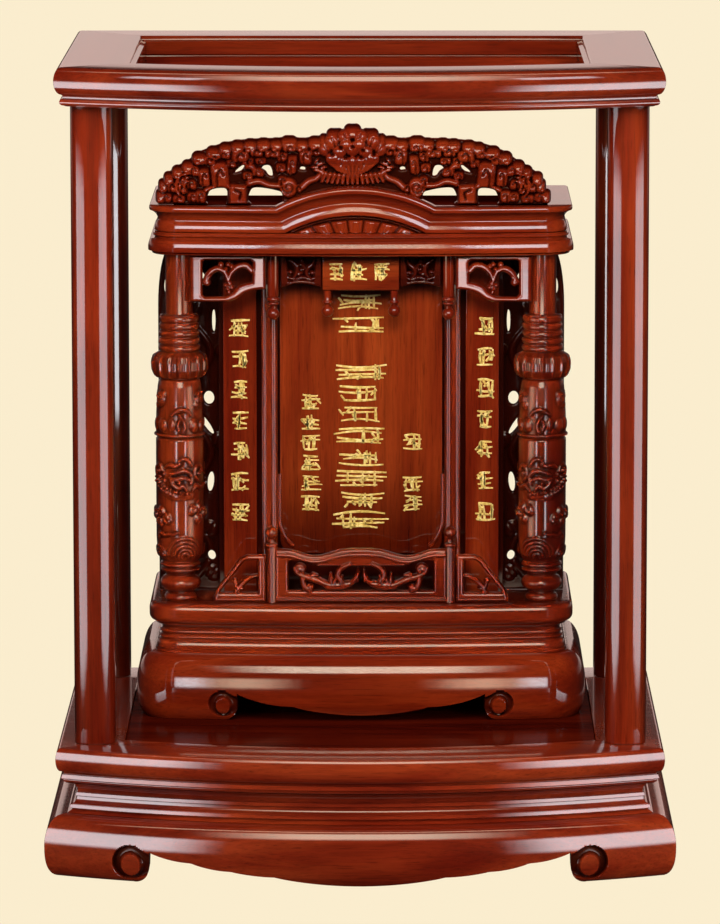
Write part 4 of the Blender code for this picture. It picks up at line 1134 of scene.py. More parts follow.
CROWN_X = -0.0055
CROWN_BOTTOM_Z = low("crown_carving").z
CROWN_BASE_Y = high("crown_carving").y - 0.0045
CROWN_STEP = 0.0006

# Leaves that curl over the top edge, from the centre outwards: distance out, top, half width
EDGE_LEAVES = mm((
    (25.1, 46.7, 5.2), (34.5, 45.3, 4.6), (43.2, 46.9, 5.4), (52, 45.4, 4.4),
    (60.7, 45.4, 4.8), (69.7, 44.9, 4.6), (78.4, 44, 4.6), (86.6, 42.6, 4.4),
    (95, 40, 4.6), (104.2, 36.4, 5.2), (112.2, 30.5, 4.2), (119, 26.8, 4.2),
    (125.2, 22.4, 3.6), (129.2, 17.6, 3.2), (131.2, 10.4, 3),
))
# Faces of the leaves below them, in millimetres: distance out, top, bottom, half width, stand; and a lean
LEAF_FACES = (
    (32.3, 39.5, 26.8, 4.6, 5.2, 0.1), (42.8, 42.2, 36, 5, 6, 0), (41.3, 35, 20.5, 3.6, 5, -0.1),
    (54.5, 38.5, 31.8, 5.6, 5.6, 0), (65.5, 40, 32.5, 4.8, 5, 0.1), (62.5, 33, 27, 4, 4.2, 0),
    (76.5, 38.5, 28.5, 6.4, 5.8, 0), (88, 37.2, 31.2, 5.2, 4.8, 0), (90.5, 31.2, 10, 6.6, 6.2, 0.1),
    (97.8, 34.5, 26.5, 4.4, 5.2, 0.2), (101.2, 26.2, 12, 4.2, 4.4, 0.1), (108.5, 28.2, 19, 4.4, 5.2, 0.3),
    (116, 22.5, 14, 4.4, 5, 0.3), (103.5, 11, 1, 4, 4.6, 0), (123.2, 16.8, 8, 4, 5.2, 0.2),
    (127, 9, 1.2, 4, 4.8, 0), (118.5, 7.8, 0.8, 4.6, 5, 0), (64.5, 26.2, 18.8, 4.4, 5, 0.2),
    (71.5, 23.2, 16.5, 3.8, 4.4, 0), (47.8, 37.2, 29, 3.6, 4.4, -0.2), (49, 29.2, 21.5, 3.8, 4.8, 0),
    (70.5, 33.2, 26.8, 3.4, 4, 0), (82.6, 31.8, 24.8, 3.4, 4.4, 0.2), (47.8, 20.5, 13, 3.4, 4.2, 0),
    (37, 15, 8, 3, 4, 0), (110, 18.2, 10, 3.8, 4.4, 0.2), (116, 14.2, 7.2, 3.6, 5, 0.3),
    (109.5, 9.5, 1.5, 3.6, 4.4, 0), (94.5, 34.5, 30.2, 3.4, 4.2, 0), (25.5, 40, 33, 4, 4.6, 0),
)
# Thin stems, recesses behind the leaves, then openings right through: points of (distance out, height)
CROWN_STEMS = mm((
    ((34.5, 12), (30, 16), (24, 18.5), (20.5, 23.5)),
    ((70.5, 14.8), (64, 16), (57, 13.5), (50, 13)),
    ((85.5, 12.8), (90, 12), (96, 11.2), (100, 10)),
    ((73.5, 27), (69, 26.2), (66.5, 23.2)),
))
CROWN_RECESSES = mm((
    ((83, 18), (81.5, 25), (76, 28.5), (70, 27), (73.5, 19), (78, 15.5)),
    ((64, 20), (60, 27), (54, 26.2), (50.5, 13), (59, 15)),
    ((37.2, 23.5), (35.5, 26.2), (29.5, 25.8), (28.5, 19), (35, 13), (37, 17)),
))
CROWN_OPENINGS = mm((
    ((80.6, 21.6), (79, 23.8), (75.2, 26.8), (73.8, 26.4), (76, 23.2)),
    ((62.2, 25), (60, 26.8), (56, 26.2), (54.5, 20), (57.2, 20), (59.2, 22.8)),
    ((36.2, 24), (35.2, 25.8), (32.6, 25.6), (32.6, 23.6)),
    ((86, 0.6), (99, 0.6), (98.5, 7), (95.5, 10.4), (86.2, 10.6)),
    ((48, 0.6), (69.5, 0.6), (69.5, 9.8), (64, 11.6), (52, 9.6), (48.2, 7.4)),
))
STEM_BLOCK = mm(((71.2, 0), (84.8, 0), (85.2, 11.5), (83, 14.8), (71.6, 14)))
BLOCK_CUT = mm(((77, 4), (76.4, 8.5), (80, 10.4)))
RIGHT_SIDE_SHIFT = 0.0008


def leaf_face(relief, x, top, bottom, half, stand, lean, crest=0.45, rounding=0.7):
    """A leaf with a flat rounded end: it rolls back along its top and stands out most towards its foot."""
    middle, tall = (top + bottom) / 2, (top - bottom) / 2
    w = relief.window(x, middle, 1.4 * max(half, tall))
    dz = relief.z[w] - middle
    dx = relief.x[w] - x - lean * dz
    corner = rounding * min(half, tall)
    across, up = np.abs(dx) - (half - corner), np.abs(dz) - (tall - corner)
    outside = np.hypot(np.maximum(across, 0), np.maximum(up, 0))
    field = corner - outside - np.minimum(np.maximum(across, up), 0)
    down = np.clip((top - relief.z[w]) / (top - bottom), 0, 1)
    rise = 0.16 + 0.84 * np.sin(0.5 * math.pi * np.clip(down / crest, 0, 1))
    edge = np.sqrt(np.clip(1 - (1 - np.clip(field / (0.9 * corner), 0, 1)) ** 2, 0, 1))
    before = relief.height[w]
    relief.height[w] = np.where(field > 0, np.maximum(before, stand * rise * edge), before)
    relief.solid[w] = np.maximum(relief.solid[w], field)


def hooked_vein(x, top, bottom, half, side):
    """A hooked cut in a leaf, from its foot up and over to one side."""
    tall = top - bottom
    turns = ((0.25, 0.10), (0.30, 0.45), (-0.05, 0.66), (-0.38, 0.50))
    return [(x + side * across * half, bottom + up * tall) for across, up in turns]


def crown_side(relief, side, shift):
    """Leaves, stems and curls of one half of the crown: side is -1 on the left and 1 on the right."""
    cuts = []
    for i, (out, top, half) in enumerate(EDGE_LEAVES):
        x = side * (out + shift * (-1) ** i)
        stand = 0.0052 - 0.0006 * (i % 2)
        leaf_face(relief, x, top + 0.0003, top - 0.0098, 1.12 * half, stand, 0.0, 0.75, 0.85)
        relief.dome(x + side * 0.3 * half, top - 0.0076, 0.42 * half, 0.0016, 0.0014, base=0.0046)
    for *sizes, lean in LEAF_FACES:
        out, top, bottom, half, stand = mm(sizes)
        x = side * (out + shift)
        leaf_face(relief, x, top, bottom, half, stand, side * lean)
        cuts.append((hooked_vein(x, top, bottom, half, side), 0.16 * half))
    for stem in CROWN_STEMS:
        path = [(side * out, h) for out, h in stem]
        relief.stroke(path, (0.0026, 0.0024, 0.0020), (0.0044, 0.0038), 0.0012)
    curl_x, curl_h = side * 0.0438, 0.0118
    relief.dome(curl_x, curl_h, 0.0064, 0.0072, 0.0058, power=0.35)
    cuts.append((spiral(curl_x, curl_h, 0.0044, 0.0012, 0.0 if side > 0 else math.pi, -1.2 * side), 0.0010))
    field = relief.polygon([(side * out, h) for out, h in STEM_BLOCK])
    relief.height = np.maximum(relief.height, 0.0068 * np.sqrt(np.clip(field / 0.0020, 0, 1)))
    cuts.append(([(side * out, h) for out, h in BLOCK_CUT], 0.0012))
    for k in range(3):
        radius = 0.0036 + 0.0026 * k
        turns = np.linspace(-0.9, 1.5, 7)
        arc = [(side * 0.1115 + side * radius * math.cos(a), 0.0128 + radius * math.sin(a)) for a in turns]
        relief.stroke(arc, (0.0008, 0.0013, 0.0008), 0.0012, 0.0052 - 0.0004 * k)
    for cut, width in cuts:
        relief.groove(cut, max(width, 0.0009), 0.0020)


def glint_petals(relief, side):
    """A spray of thin petals beside the flower."""
    for k in range(9):
        x, h = side * (0.0196 + 0.0016 * (k % 5)), 0.0212 + 0.0022 * (k // 2)
        turn = 0.9 * side * (1 - 0.25 * k)
        across, up = 0.0024 * math.cos(turn), 0.0024 * math.sin(turn)
        petal = [(x - across, h - up), (x, h + 0.0004), (x + across, h + up)]
        relief.stroke(petal, (0.0005, 0.0011, 0.0005), 0.0014, 0.0044)


def crown_body(relief):
    """The leafy board, before its flower: silhouette, leaves, stems, then recesses and openings."""
    edge = [(out, top - 0.0001) for out, top, half in EDGE_LEAVES]
    half = [(0.0, 0.0470), (0.0160, 0.0480), *edge, (0.1328, 0.0090), (0.1328, 0.0)]
    relief.solid = relief.polygon([(-x, h) for x, h in half[:0:-1]] + half)
    relief.height = np.where(relief.solid > 0, 0.0012 - 0.0022 * np.clip(relief.solid / 0.006, 0, 1), 0.0)
    relief.shadow_depth = 0.0030

    def inside(outline, side):
        closed = [(side * x, h) for x, h in (*outline, outline[0])]
        return relief.polygon(curve_through(closed, 4))

    for side in (-1, 1):
        for recess in CROWN_RECESSES:
            relief.height -= 0.0040 * np.clip(inside(recess, side) / 0.0010, 0, 1)
    for side, shift in ((-1, 0.0), (1, RIGHT_SIDE_SHIFT)):
        crown_side(relief, side, shift)
        glint_petals(relief, side)
        for opening in CROWN_OPENINGS:
            relief.solid = np.minimum(relief.solid, -inside(opening, side))


FLOWER_LEAVES = mm(((0, 55.2, 6), (11.8, 52.2, 6.2), (18.8, 48.6, 4)))
FLOWER_PETALS = mm(((5.6, 46.2, 5), (14, 43, 5.4), (19, 38, 4.4)))
INNER_PETALS = mm(((0, 38.5, 5.2), (9, 36.2, 5), (4.5, 41.2, 4.6), (12.5, 32.2, 4.6)))
SEED_PITS = mm(
    ((-8, 39.5), (0, 40.2), (7.1, 37.7), (-14, 35), (14.5, 35), (-4.8, 33), (5.7, 33))
)


def both_ways(rows):
    """Rows of (x, height, size) and their mirror images."""
    return [(sign * x, h, size) for x, h, size in rows for sign in ((-1, 1) if x else (1,))]


def crown_flower(relief):
    """An open flower: outer and inner petals, seed pits, a fluted cup and a fringe of short strokes."""
    for x, h, r in both_ways(FLOWER_LEAVES):
        leaf_face(relief, x, h, h - 0.0110, r, 0.0056, 0.0, 0.75)
    for x, h, r in both_ways(FLOWER_PETALS):
        relief.dome(x, h, r, 1.1 * r, 0.0040, base=0.0032)
        relief.groove([(x, h + 0.6 * r), (0.8 * x, h - 0.9 * r)], 0.0010, 0.0011)
    for x, h, r in both_ways(INNER_PETALS):
        relief.dome(x, h, r, 0.95 * r, 0.0032, base=0.0050)
    for k in range(-5, 6):
        x, droop = 0.0031 * k, 0.0001 * k * k
        relief.stroke([(0.62 * x, 0.0214 + droop), (x, 0.0268 + droop)], (0.0011, 0.0017), 0.0016, 0.0054)
    for k in range(-3, 4):
        relief.dome(0.0050 * k, 0.0300 + 0.0002 * k * k, 0.0034, 0.0040, 0.0026, base=0.0052)
    for k in range(-6, 7):
        x, foot = 0.0034 * k, 0.0150 + 0.00004 * k * k
        fringe = [(1.02 * x, foot), (0.90 * x, foot + 0.0052)]
        relief.stroke(fringe, (0.0013, 0.0016), (0.0018, 0.0022), 0.0046)
    for x, h in SEED_PITS:
        relief.groove([(x, h), (x + 0.0002, h)], 0.0015, 0.0030)


def build_crown():
    relief = Relief((-0.1362, 0.1362), (-0.0012, 0.0562), CROWN_STEP)
    crown_body(relief)
    crown_flower(relief)
    relief.solid = np.minimum(relief.solid, relief.z)
    relief.height = np.clip(relief.height, -0.0032, 0.0084)
    relief.xs = relief.xs + CROWN_X
    relief.zs = relief.zs + CROWN_BOTTOM_Z
    carving("crown", relief, CROWN_BASE_Y, CROWN_BASE_Y + 0.0045, CARVED, ["crown_carving"], 0.0020)


# Pierced boards of the tablet, drawn for the right-hand side and mirrored for the left


BOARD_STEP = 0.0005
BOARD_STAND = 0.0022


def framed(relief, outline, openings, bar_round=0.0025):
    """A flat frame with rounded bars, before any stems cross its openings."""
    solid = relief.polygon(outline)
    for opening in openings:
        solid = np.minimum(solid, -relief.polygon(opening))
    relief.solid = solid
    rise = 1 - np.clip(solid / bar_round, 0, 1)
    relief.height = np.where(solid > 0, BOARD_STAND * np.sqrt(1 - rise**2), 0.0)


def mirrored(relief, sign):
    if sign < 0:
        relief.xs = -relief.xs[::-1]
        relief.height = relief.height[::-1]
        relief.solid = relief.solid[::-1].copy()
    return relief


def board_relief(name, margin=0.001, above=0.001, step=BOARD_STEP):
    """A relief over a board's box, with a margin all round, and the box."""
    start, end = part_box(name)
    return Relief((start.x - margin, end.x + margin), (start.z - margin, end.z + above), step), start, end


def carved_board(name, board, sign, relief, material, stand=BOARD_STAND):
    """Carves one of a pair of boards, from a relief drawn for the right-hand one."""
    side = "left" if sign < 0 else "right"
    start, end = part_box(f"{board}_right")
    carving(f"{name}_{side}", mirrored(relief, sign), start.y + stand, end.y, material, [f"{board}_{side}"])


# Corner bracket, in millimetres: its lower edge, its opening, then strokes of (points, widths, stand, base)
# and berries of (x, height, radius across, radius up, stand, base)
BRACKET_EDGE = mm(((64.8, 382.2), (72, 381.5), (79, 379.5), (85, 375.5), (90.5, 373.6)))
BRACKET_INNER_EDGE = mm(((74.5, 387.2), (79, 386.2), (84, 384), (88.5, 379.5), (92.5, 377.2)))
BRACKET_OPENING = mm(((106.5, 377), (108, 378.5), (108, 401), (106.5, 402.2), (75.5, 402.2), (73.8, 400.5)))
BRACKET_STEMS = (
    (((106.2, 387.2), (103, 393.5), (97.5, 396.2), (92.5, 393.5), (90.5, 388)), (2.4, 2.2, 1.6), 2.6, 0.2),
    (((74.5, 395), (78.5, 398.5), (84, 397.5), (88.5, 393.5), (90.5, 388)), (2.2, 2.2, 1.5), 2.6, 0.2),
    (((90.5, 384), (90, 380)), (1.3, 1.6), 1.8, 0),
)
BRACKET_BERRIES = (
    (105, 386.8, 2.7, 2.7, 3, 0), (95.5, 399, 2.2, 2.2, 2.4, 0.4), (90.5, 399.2, 1.8, 1.8, 2.4, 0.4),
    (92, 395.8, 1.6, 1.6, 2.4, 0.4), (88.2, 397.8, 1.9, 1.9, 2.4, 0.4), (89.5, 386.2, 2.2, 2.2, 2.4, 0.4),
    (92.5, 385, 1.7, 1.7, 2.4, 0.4), (88, 383.5, 1.8, 1.8, 2.4, 0.4), (91, 382.6, 1.6, 1.6, 2.4, 0.4),
)
BRACKET_CUT = mm(((104.5, 390.5), (99, 395), (94, 393.5)))


def corner_bracket(sign):
    """An openwork bracket with an ogee lower edge and a leafy stem across its opening."""
    relief, start, end = board_relief("corner_bracket_right")
    outline = [*curve_through(BRACKET_EDGE, 6), (end.x, 0.3735), (end.x, end.z), (start.x, end.z)]
    framed(relief, outline, [[*curve_through(BRACKET_INNER_EDGE, 6), *BRACKET_OPENING]])
    relief.height -= 0.14 * np.clip(relief.x - 0.1080, 0, 0.01)
    relief.strokes(BRACKET_STEMS)
    relief.domes(BRACKET_BERRIES)
    relief.groove(BRACKET_CUT, 0.0007, 0.0008)
    carved_board("bracket", "corner_bracket", sign, relief, WOOD_X)


# Panel beside the plaque, in millimetres, drawn as the corner bracket is
CURL_STEMS = (
    (((30, 390), (34.5, 388), (40, 389.5), (45, 388), (50, 389.5)), 1.4, 2.2, 0),
    (((31.8, 402), (33, 398.5), (36.2, 395.8), (37.2, 392.2), (35.2, 389.2)), (1.4, 1.9, 1.3), 2.4, 0),
    (((49.2, 401.5), (46.8, 400.2), (44, 396.8), (44, 392.5), (46, 389.2)), (1.4, 1.8, 1.3), 2.4, 0),
)
CURL_BERRIES = (
    (33.2, 392.5, 2, 1.6, 2, 0), (48.2, 393, 2, 1.6, 2, 0), (40.5, 401, 2, 1.6, 2, 0),
    (42.5, 391.5, 2, 1.6, 2, 0),
)


def pierced_panel(sign):
    """The carved panel beside the plaque, dark with painted shade, with small curls and an arched lower edge.
    """
    relief, start, end = board_relief("pierced_panel_right")
    middle, width, half_opening = (start.x + end.x) / 2, end.x - start.x, 0.0100
    xs = np.linspace(start.x, end.x, 15)
    lower = [(x, 0.3822 + 0.0030 * math.cos((x - middle) / width * math.pi)) for x in xs]
    opening = [(x, z + 0.0028) for x, z in lower if abs(x - middle) < half_opening]
    opening += [(middle + half_opening, 0.4032), (middle - half_opening, 0.4032)]
    framed(relief, [*lower, (end.x, end.z), (start.x, end.z)], [opening], 0.0012)
    relief.strokes(CURL_STEMS)
    relief.stroke(spiral(0.0405, 0.3960, 0.0036, 0.0010, -math.pi / 2, 1.1), 0.0012, 0.0022)
    relief.domes(CURL_BERRIES)
    carved_board("curl_panel", "pierced_panel", sign, relief, DEEP_X)


# Bracket outside a balustrade post, drawn in the same way
FOOT_SLOPE = mm(((98, 176.5), (89, 188), (83.5, 195.5), (78, 198.5)))
FOOT_OPENING = mm((
    (71.2, 172.2), (96.8, 172.2), (95.8, 173.8), (80.5, 193.2), (78.5, 194.2), (71.2, 194.2),
))
FOOT_STEMS = (
    (((85.8, 172.2), (83.5, 176), (79.5, 180), (75, 183), (71.2, 183.8)), (1.6, 2.2, 1.4), 2.6, 0),
    (((86.2, 179), (85.8, 176.5), (83.5, 174.8), (81.2, 175.2)), (1.6, 1.8, 1.2), 2.4, 0),
)
FOOT_BERRIES = ((86.8, 180.2, 2.2, 2, 2.6, 0), (85.2, 172.2, 3, 2, 2.4, 0))


def balustrade_bracket(sign):
    """The triangular openwork bracket outside a balustrade post, with a small rising leaf in it."""
    relief, start, end = board_relief("balustrade_bracket_right", above=0.002)
    slope = curve_through([(end.x, 0.1690), *FOOT_SLOPE], 6)
    framed(relief, [(start.x, start.z), (end.x, start.z), *slope, (start.x, 0.1985)], [FOOT_OPENING])
    relief.strokes(FOOT_STEMS)
    relief.domes(FOOT_BERRIES)
    carved_board("foot_bracket", "balustrade_bracket", sign, relief, RAIL_WOOD)


RIM_LINE_X = (0.0, 0.0112, 0.0170, 0.0240, 0.0310, 0.0380, 0.0440, 0.0485, 0.0600)
RIM_LINE_Z = (0.1986, 0.1984, 0.1972, 0.1948, 0.1932, 0.1944, 0.1968, 0.1982, 0.1984)
RIM_RISE = 0.0042


def rim_line(x):
    """The bead under the balustrade's top edge: level by the posts, a dip, then a low hump in the middle."""
    return float(np.interp(abs(x), RIM_LINE_X, RIM_LINE_Z))


# Balustrade, in millimetres, drawn as the brackets are
BALUSTRADE_OPENING = mm((
    (0, 190.3), (28.4, 190.3), (33, 191.2), (40, 193.6), (48, 194), (49.7, 193.2), (49.7, 174.1),
    (49.3, 173.7), (0, 173.7),
))
BALUSTRADE_STEMS = (
    (((40.2, 186.8), (39.2, 189.2), (41.8, 190.8), (44.6, 189.2), (44.2, 186), (41.2, 184)), 2, 3, 0.2),
    (((41.2, 184.2), (36.5, 182.4), (31, 180.8), (26.5, 178.8), (22.2, 177)), (2.4, 2.7, 2.7), 3, 0.2),
    (((40.2, 182.8), (39.8, 179), (38.4, 175.6), (35.2, 174)), (2, 2.5, 2.8), 3, 0.2),
    (((35.2, 182.2), (33, 184.2), (30, 184)), (1.8, 2.1, 1.2), 3, 0.2),
    (((20, 176), (20.6, 180.5), (20.8, 185.2)), (1.5, 2, 1.1), 3, 0.2),
    (((17.8, 176), (18, 179), (17.4, 181.8)), (1.5, 1.8, 1.1), 3, 0.2),
    (((14.8, 176.2), (13.8, 179.8), (13, 183.2)), (1.5, 1.8, 1.2), 3, 0.2),
    (((22.5, 176.4), (18, 176.6), (13, 176.8), (8.5, 178)), (3, 3.6, 2.8), 3, 0.2),
    (((11, 177.6), (15, 181.5), (15.8, 185), (13.5, 188.8), (8, 191.8)), (1.8, 2.4, 2.5, 2.1), 3, 0.2),
    (((11.5, 176), (7.5, 178), (4.5, 180.6), (1.8, 185.8)), (2.1, 2, 1.2), 3, 0.2),
    (((2.6, 180), (2.4, 184.5), (2, 188.8)), (1.3, 1.7, 0.9), 3, 0.2),
)
BALUSTRADE_BERRIES = ((42, 188.2, 3, 2.8, 3.4, 0), (34.8, 175.8, 2.8, 2.4, 3.4, 0))


def add_beads(relief, xs, line):
    """Raised lines along a panel: under its top edge, at its foot and over the opening's middle."""
    middle_only = np.where(np.abs(relief.x) > 0.0300, 1.0, 0.0)
    beads = (
        (np.abs(np.interp(relief.x, xs, line) - relief.z), 0.0011),
        (np.abs(relief.z - 0.1684), 0.0009),
        (np.abs(relief.z - 0.1909) + middle_only, 0.0006),
    )
    for away, radius in beads:
        rise = 0.0011 * np.sqrt(np.clip(1 - (away / radius) ** 2, 0, 1))
        relief.height += np.where(relief.solid > 0, rise, 0)


def balustrade():
    """The low panel across the foot of the name board: a wavy top over scrolling stems."""
    start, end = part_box("balustrade_panel")
    relief = Relief((start.x - 0.004, end.x + 0.004), (start.z - 0.001, 0.2045), BOARD_STEP)
    reach = end.x + 0.0020
    xs = np.linspace(-reach, reach, 61)
    line = np.array([rim_line(x) for x in xs])
    line = np.convolve(np.pad(line, 2, mode="edge"), np.ones(5) / 5, "valid")
    outline = [(-reach, start.z), (reach, start.z), *zip(xs[::-1], line[::-1] + RIM_RISE)]
    opening = [*BALUSTRADE_OPENING, *((-x, z) for x, z in BALUSTRADE_OPENING[-2:0:-1])]
    framed(relief, outline, [opening], 0.0018)
    add_beads(relief, xs, line)
    for sign in (-1, 1):
        relief.strokes(BALUSTRADE_STEMS, sign)
        relief.domes(BALUSTRADE_BERRIES, sign)
    carving("balustrade", relief, start.y + BOARD_STAND, end.y, RAIL_WOOD, ["balustrade_panel"])


# Oval holes through the fretwork: x, height, half width, half height; and a turn
FRETWORK_HOLES = (
    ((124.5, 395, 3, 5), 0.2),
    ((133.5, 379, 2.6, 6.6), 0.1),
    ((112, 382, 4, 6), 0.3),
    ((102, 354, 1.2, 8), 0.0),
    ((134.5, 345, 2.2, 7), -0.1),
    ((105.5, 300.1, 3.6, 4.6), -0.1),
    ((107.2, 281.5, 1.8, 8.4), -0.6),
    ((135, 290, 2, 8), 0.1),
    ((104.5, 241.2, 2.2, 7), 0.1),
    ((135, 230, 2, 8), -0.1),
    ((104, 189.5, 2.6, 3.4), -0.3),
)
FRETWORK_STAND = 0.0020
SHOULDER_Z = 0.3640
SHOULDER = 0.0090


def climbing_stem(relief, start, end):
    """A wavering stem up the board, with a leaf to each side of it in turn."""

    def stem_x(z):
        return (start.x + end.x) / 2 + 0.010 * math.sin(z * 90)

    stem = [(stem_x(z), z) for z in np.linspace(start.z + 0.006, end.z - 0.006, 40)]
    relief.stroke(stem, 0.0022, 0.0018, 0.0002, solid=False)
    for i, z in enumerate(np.linspace(start.z + 0.012, end.z - 0.012, 15)):
        side = 1 if i % 2 else -1
        x = stem_x(z) + side * 0.0085
        relief.dome(x, z, 0.0050, 0.0062, 0.0016, 0.5 * side, solid=False, base=0.0003)
        relief.groove([(x - 0.0030 * side, z - 0.0030), (x + 0.0020 * side, z + 0.0030)], 0.0010, 0.0008)


def side_fretwork(sign):
    """The dark pierced board behind a column, carved with a climbing stem and leaves."""
    relief, start, end = board_relief("side_fretwork_right", 0.0015, 0.0015, 0.0009)
    turns = np.linspace(0, math.pi / 2, 10)
    rise = end.z - SHOULDER_Z
    corner = [(end.x - SHOULDER * (1 - math.cos(a)), SHOULDER_Z + rise * math.sin(a)) for a in turns]
    framed(relief, [(start.x, end.z), (start.x, start.z), (end.x, start.z), *corner], [], 0.0014)
    relief.height = np.minimum(relief.height, 0.0004)
    climbing_stem(relief, start, end)
    for sizes, turn in FRETWORK_HOLES:
        x, z, rx, rz = mm(sizes)
        c, s = math.cos(turn), math.sin(turn)
        oval = [(rx * math.cos(a), rz * math.sin(a)) for a in np.linspace(0, 2 * math.pi, 16, endpoint=False)]
        hole = [(x + across * c - up * s, z + across * s + up * c) for across, up in oval]
        relief.solid = np.minimum(relief.solid, -relief.polygon(hole))
    relief.height = np.clip(relief.height, 0, FRETWORK_STAND)
    carved_board("fretwork", "side_fretwork", sign, relief, SHADE_WOOD, FRETWORK_STAND)


# Turned pieces


def turned(rows, x, y, sides=48):
    """A turned body: rows are (radius, height) pairs from its foot up."""
    angles = 2 * math.pi * np.arange(sides) / sides
    radius, z = np.array(rows).T
    rings = np.stack([
        x + radius[:, None] * np.cos(angles),
        y + radius[:, None] * np.sin(angles),
        z[:, None] + 0 * angles,
    ], -1)
    return loft(rings)


def ball(low_z, radius, top_radius, steps=12):
    """Rows of a ball from its lowest point to where its neck leaves it."""
    end = math.acos(-1) - math.asin(min(1.0, top_radius / radius))
    angles = np.linspace(0.12, end, steps)
    return [(radius * math.sin(a), low_z + radius - radius * math.cos(a)) for a in angles]


def ring_rows(z0, z1, inner, outer, steps=6):
    return [(r, z) for r, z in half_round((z0 + z1) / 2, (z1 - z0) / 2, inner, outer, steps)[::-1]]


def centre_of(name):
    start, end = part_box(name)
    return (start.x + end.x) / 2, (start.y + end.y) / 2


def build_turned():
    pendant = [*ball(0.3602, 0.0043, 0.0022), (0.0021, 0.3692), (0.0024, 0.3705)]
    pendant += [*ring_rows(0.3708, 0.3726, 0.0030, 0.0040), (0.0036, 0.3730)]
    pendant += [*ring_rows(0.3733, 0.3760, 0.0036, 0.0046), (0.0037, 0.3764)]
    pendant += [(0.0040, 0.3772), (0.0040, HANG_Z)]
    plaque_pendant = [*ball(0.3622, 0.0042, 0.0024), (0.0022, 0.3712)]
    plaque_pendant += [*ring_rows(0.3716, 0.3738, 0.0026, 0.0036), (0.0024, 0.3742), (0.0026, 0.3806)]
    post = [(0.0036, STAND_Z), (0.0034, STAND_Z + 0.0008), (0.0034, 0.2034)]
    post += [*ring_rows(0.2038, 0.2064, 0.0034, 0.0043), (0.0024, 0.2068), (0.0020, 0.2084), (0.0022, 0.2098)]
    post += [*ball(0.2094, 0.0044, 0.0008, 16)[3:], (0.0010, 0.2182), (0.0006, 0.2190)]
    turned_pieces = (
        ("pendant", "pendant", pendant),
        ("plaque_pendant", "plaque_pendant", plaque_pendant),
        ("post", "balustrade_post", post),
    )
    for side in ("left", "right"):
        for name, solid, rows in turned_pieces:
            body = turned(rows, *centre_of(f"{solid}_{side}"))
            piece(f"{name}_{side}_turned", body, WOOD_Z, [f"{solid}_{side}"])


# Columns: turned, with collars, and a body carved in tiers. Unrolled, s runs round it and 0 faces forward


COLUMN_SIDES = 176
BODY_RADIUS = 0.0180
BODY_LOW_Z, BODY_HIGH_Z = 0.1925, 0.3200
BODY_CUT = 0.0019
BODY_ROWS = mm((
    (14, 192.5), (15, 193.5), (16, 195), (16.8, 197), (17.4, 199.5), (18, 204), (18.3, 210), (18.4, 250),
    (18.3, 290), (17.7, 305), (16.9, 315), (16.2, 318.5), (15, 320),
))
CAPITAL_SHARE = (0.0, 0.06, 0.30, 0.62, 0.86, 1.0)
CAPITAL_RADIUS = (0.0158, 0.0172, 0.0184, 0.0187, 0.0180, 0.0150)

# Body carving, in millimetres: strokes of (points, widths, stand, base) and marks of
# (s, height, radius round, radius up, stand, base)
TIER_STROKES = (
    (((-28, 281.2), (28, 281.2)), 1.1, 1.3, 0),
    (((-9, 295.5), (-6, 298.8), (-1.5, 299.5), (3, 297.5), (5.5, 295.8)), (1.2, 1.6, 1.1), 1.8, 0),
    (((-3, 284.2), (-4.2, 288), (-2.8, 292.5), (0, 295.5)), (1.7, 1.3, 1), 1.8, 0),
    (((0, 285.2), (0.8, 289), (-0.8, 293)), (1.3, 1.2, 0.8), 1.6, 0),
    (((-9, 240.2), (4, 239.8), (10, 242), (16, 246), (21.5, 250.5)), 3, 0.8, 0),
    (((1.5, 214.2), (5.2, 212.8), (7.8, 213.2), (12, 212), (16, 213.5), (18, 210)), (1.2, 1.5, 1), 1.8, 0),
)
TIER_MARKS = (
    (5.5, 289.2, 3, 4.4, 1.5, 0), (-12, 288.5, 4.2, 5, 1.7, 0), (14, 288.5, 4.2, 4.6, 1.6, 0),
    (-20.5, 288, 3.6, 4.6, 1.5, 0), (21.5, 289, 3.4, 5, 1.5, 0), (-7.8, 250.8, 1.4, 1.4, 2, 0),
    (5, 249.2, 1.4, 1.4, 2, 0), (0, 248.6, 1.4, 1.4, 2, 0), (-16, 254.8, 1.4, 1.4, 2, 0),
    (17, 256.8, 1.4, 1.4, 2, 0), (11.8, 254.8, 1.4, 1.4, 2, 0), (11.8, 250, 1.4, 1.4, 2, 0),
)
TIER_KNOTS = (
    ((-9.5, 260), (-7, 264), (-3, 265.5), (0.5, 263.2)),
    ((-0.5, 262.2), (3, 260.5), (7.5, 261.2), (11, 259.2)),
    ((-8.5, 248), (-9.8, 252), (-7.5, 255.8), (-3.5, 257.2), (2, 256), (6.2, 254.8)),
    ((-6, 251.5), (-2.5, 252.2), (2.5, 251.2), (7.2, 252)),
    ((-5.2, 244), (-2.8, 246.8), (1, 245.2), (4.5, 247.5), (6.2, 250)),
    ((-20, 256), (-17.5, 260), (-13, 259), (-12, 254), (-15, 250)),
    ((13, 257), (16, 261), (20.5, 259), (20, 254), (16, 252.5)),
    ((-22.5, 247), (-18, 245), (-13.5, 246.5), (-10, 244)),
)
TIER_CLOUD = ((0, 306.5, 4.8, 5.8, 1.6, 0), (3, 302.5, 2.6, 3, 1.7, 0), (-3, 309.5, 2.6, 2.6, 1.7, 0))
TIER_LEAVES = mm((
    (-10, 230), (-15.5, 224), (-17, 231.5), (10, 224), (15, 228.5), (16.5, 221.5), (-23.5, 227), (23.5, 226),
))


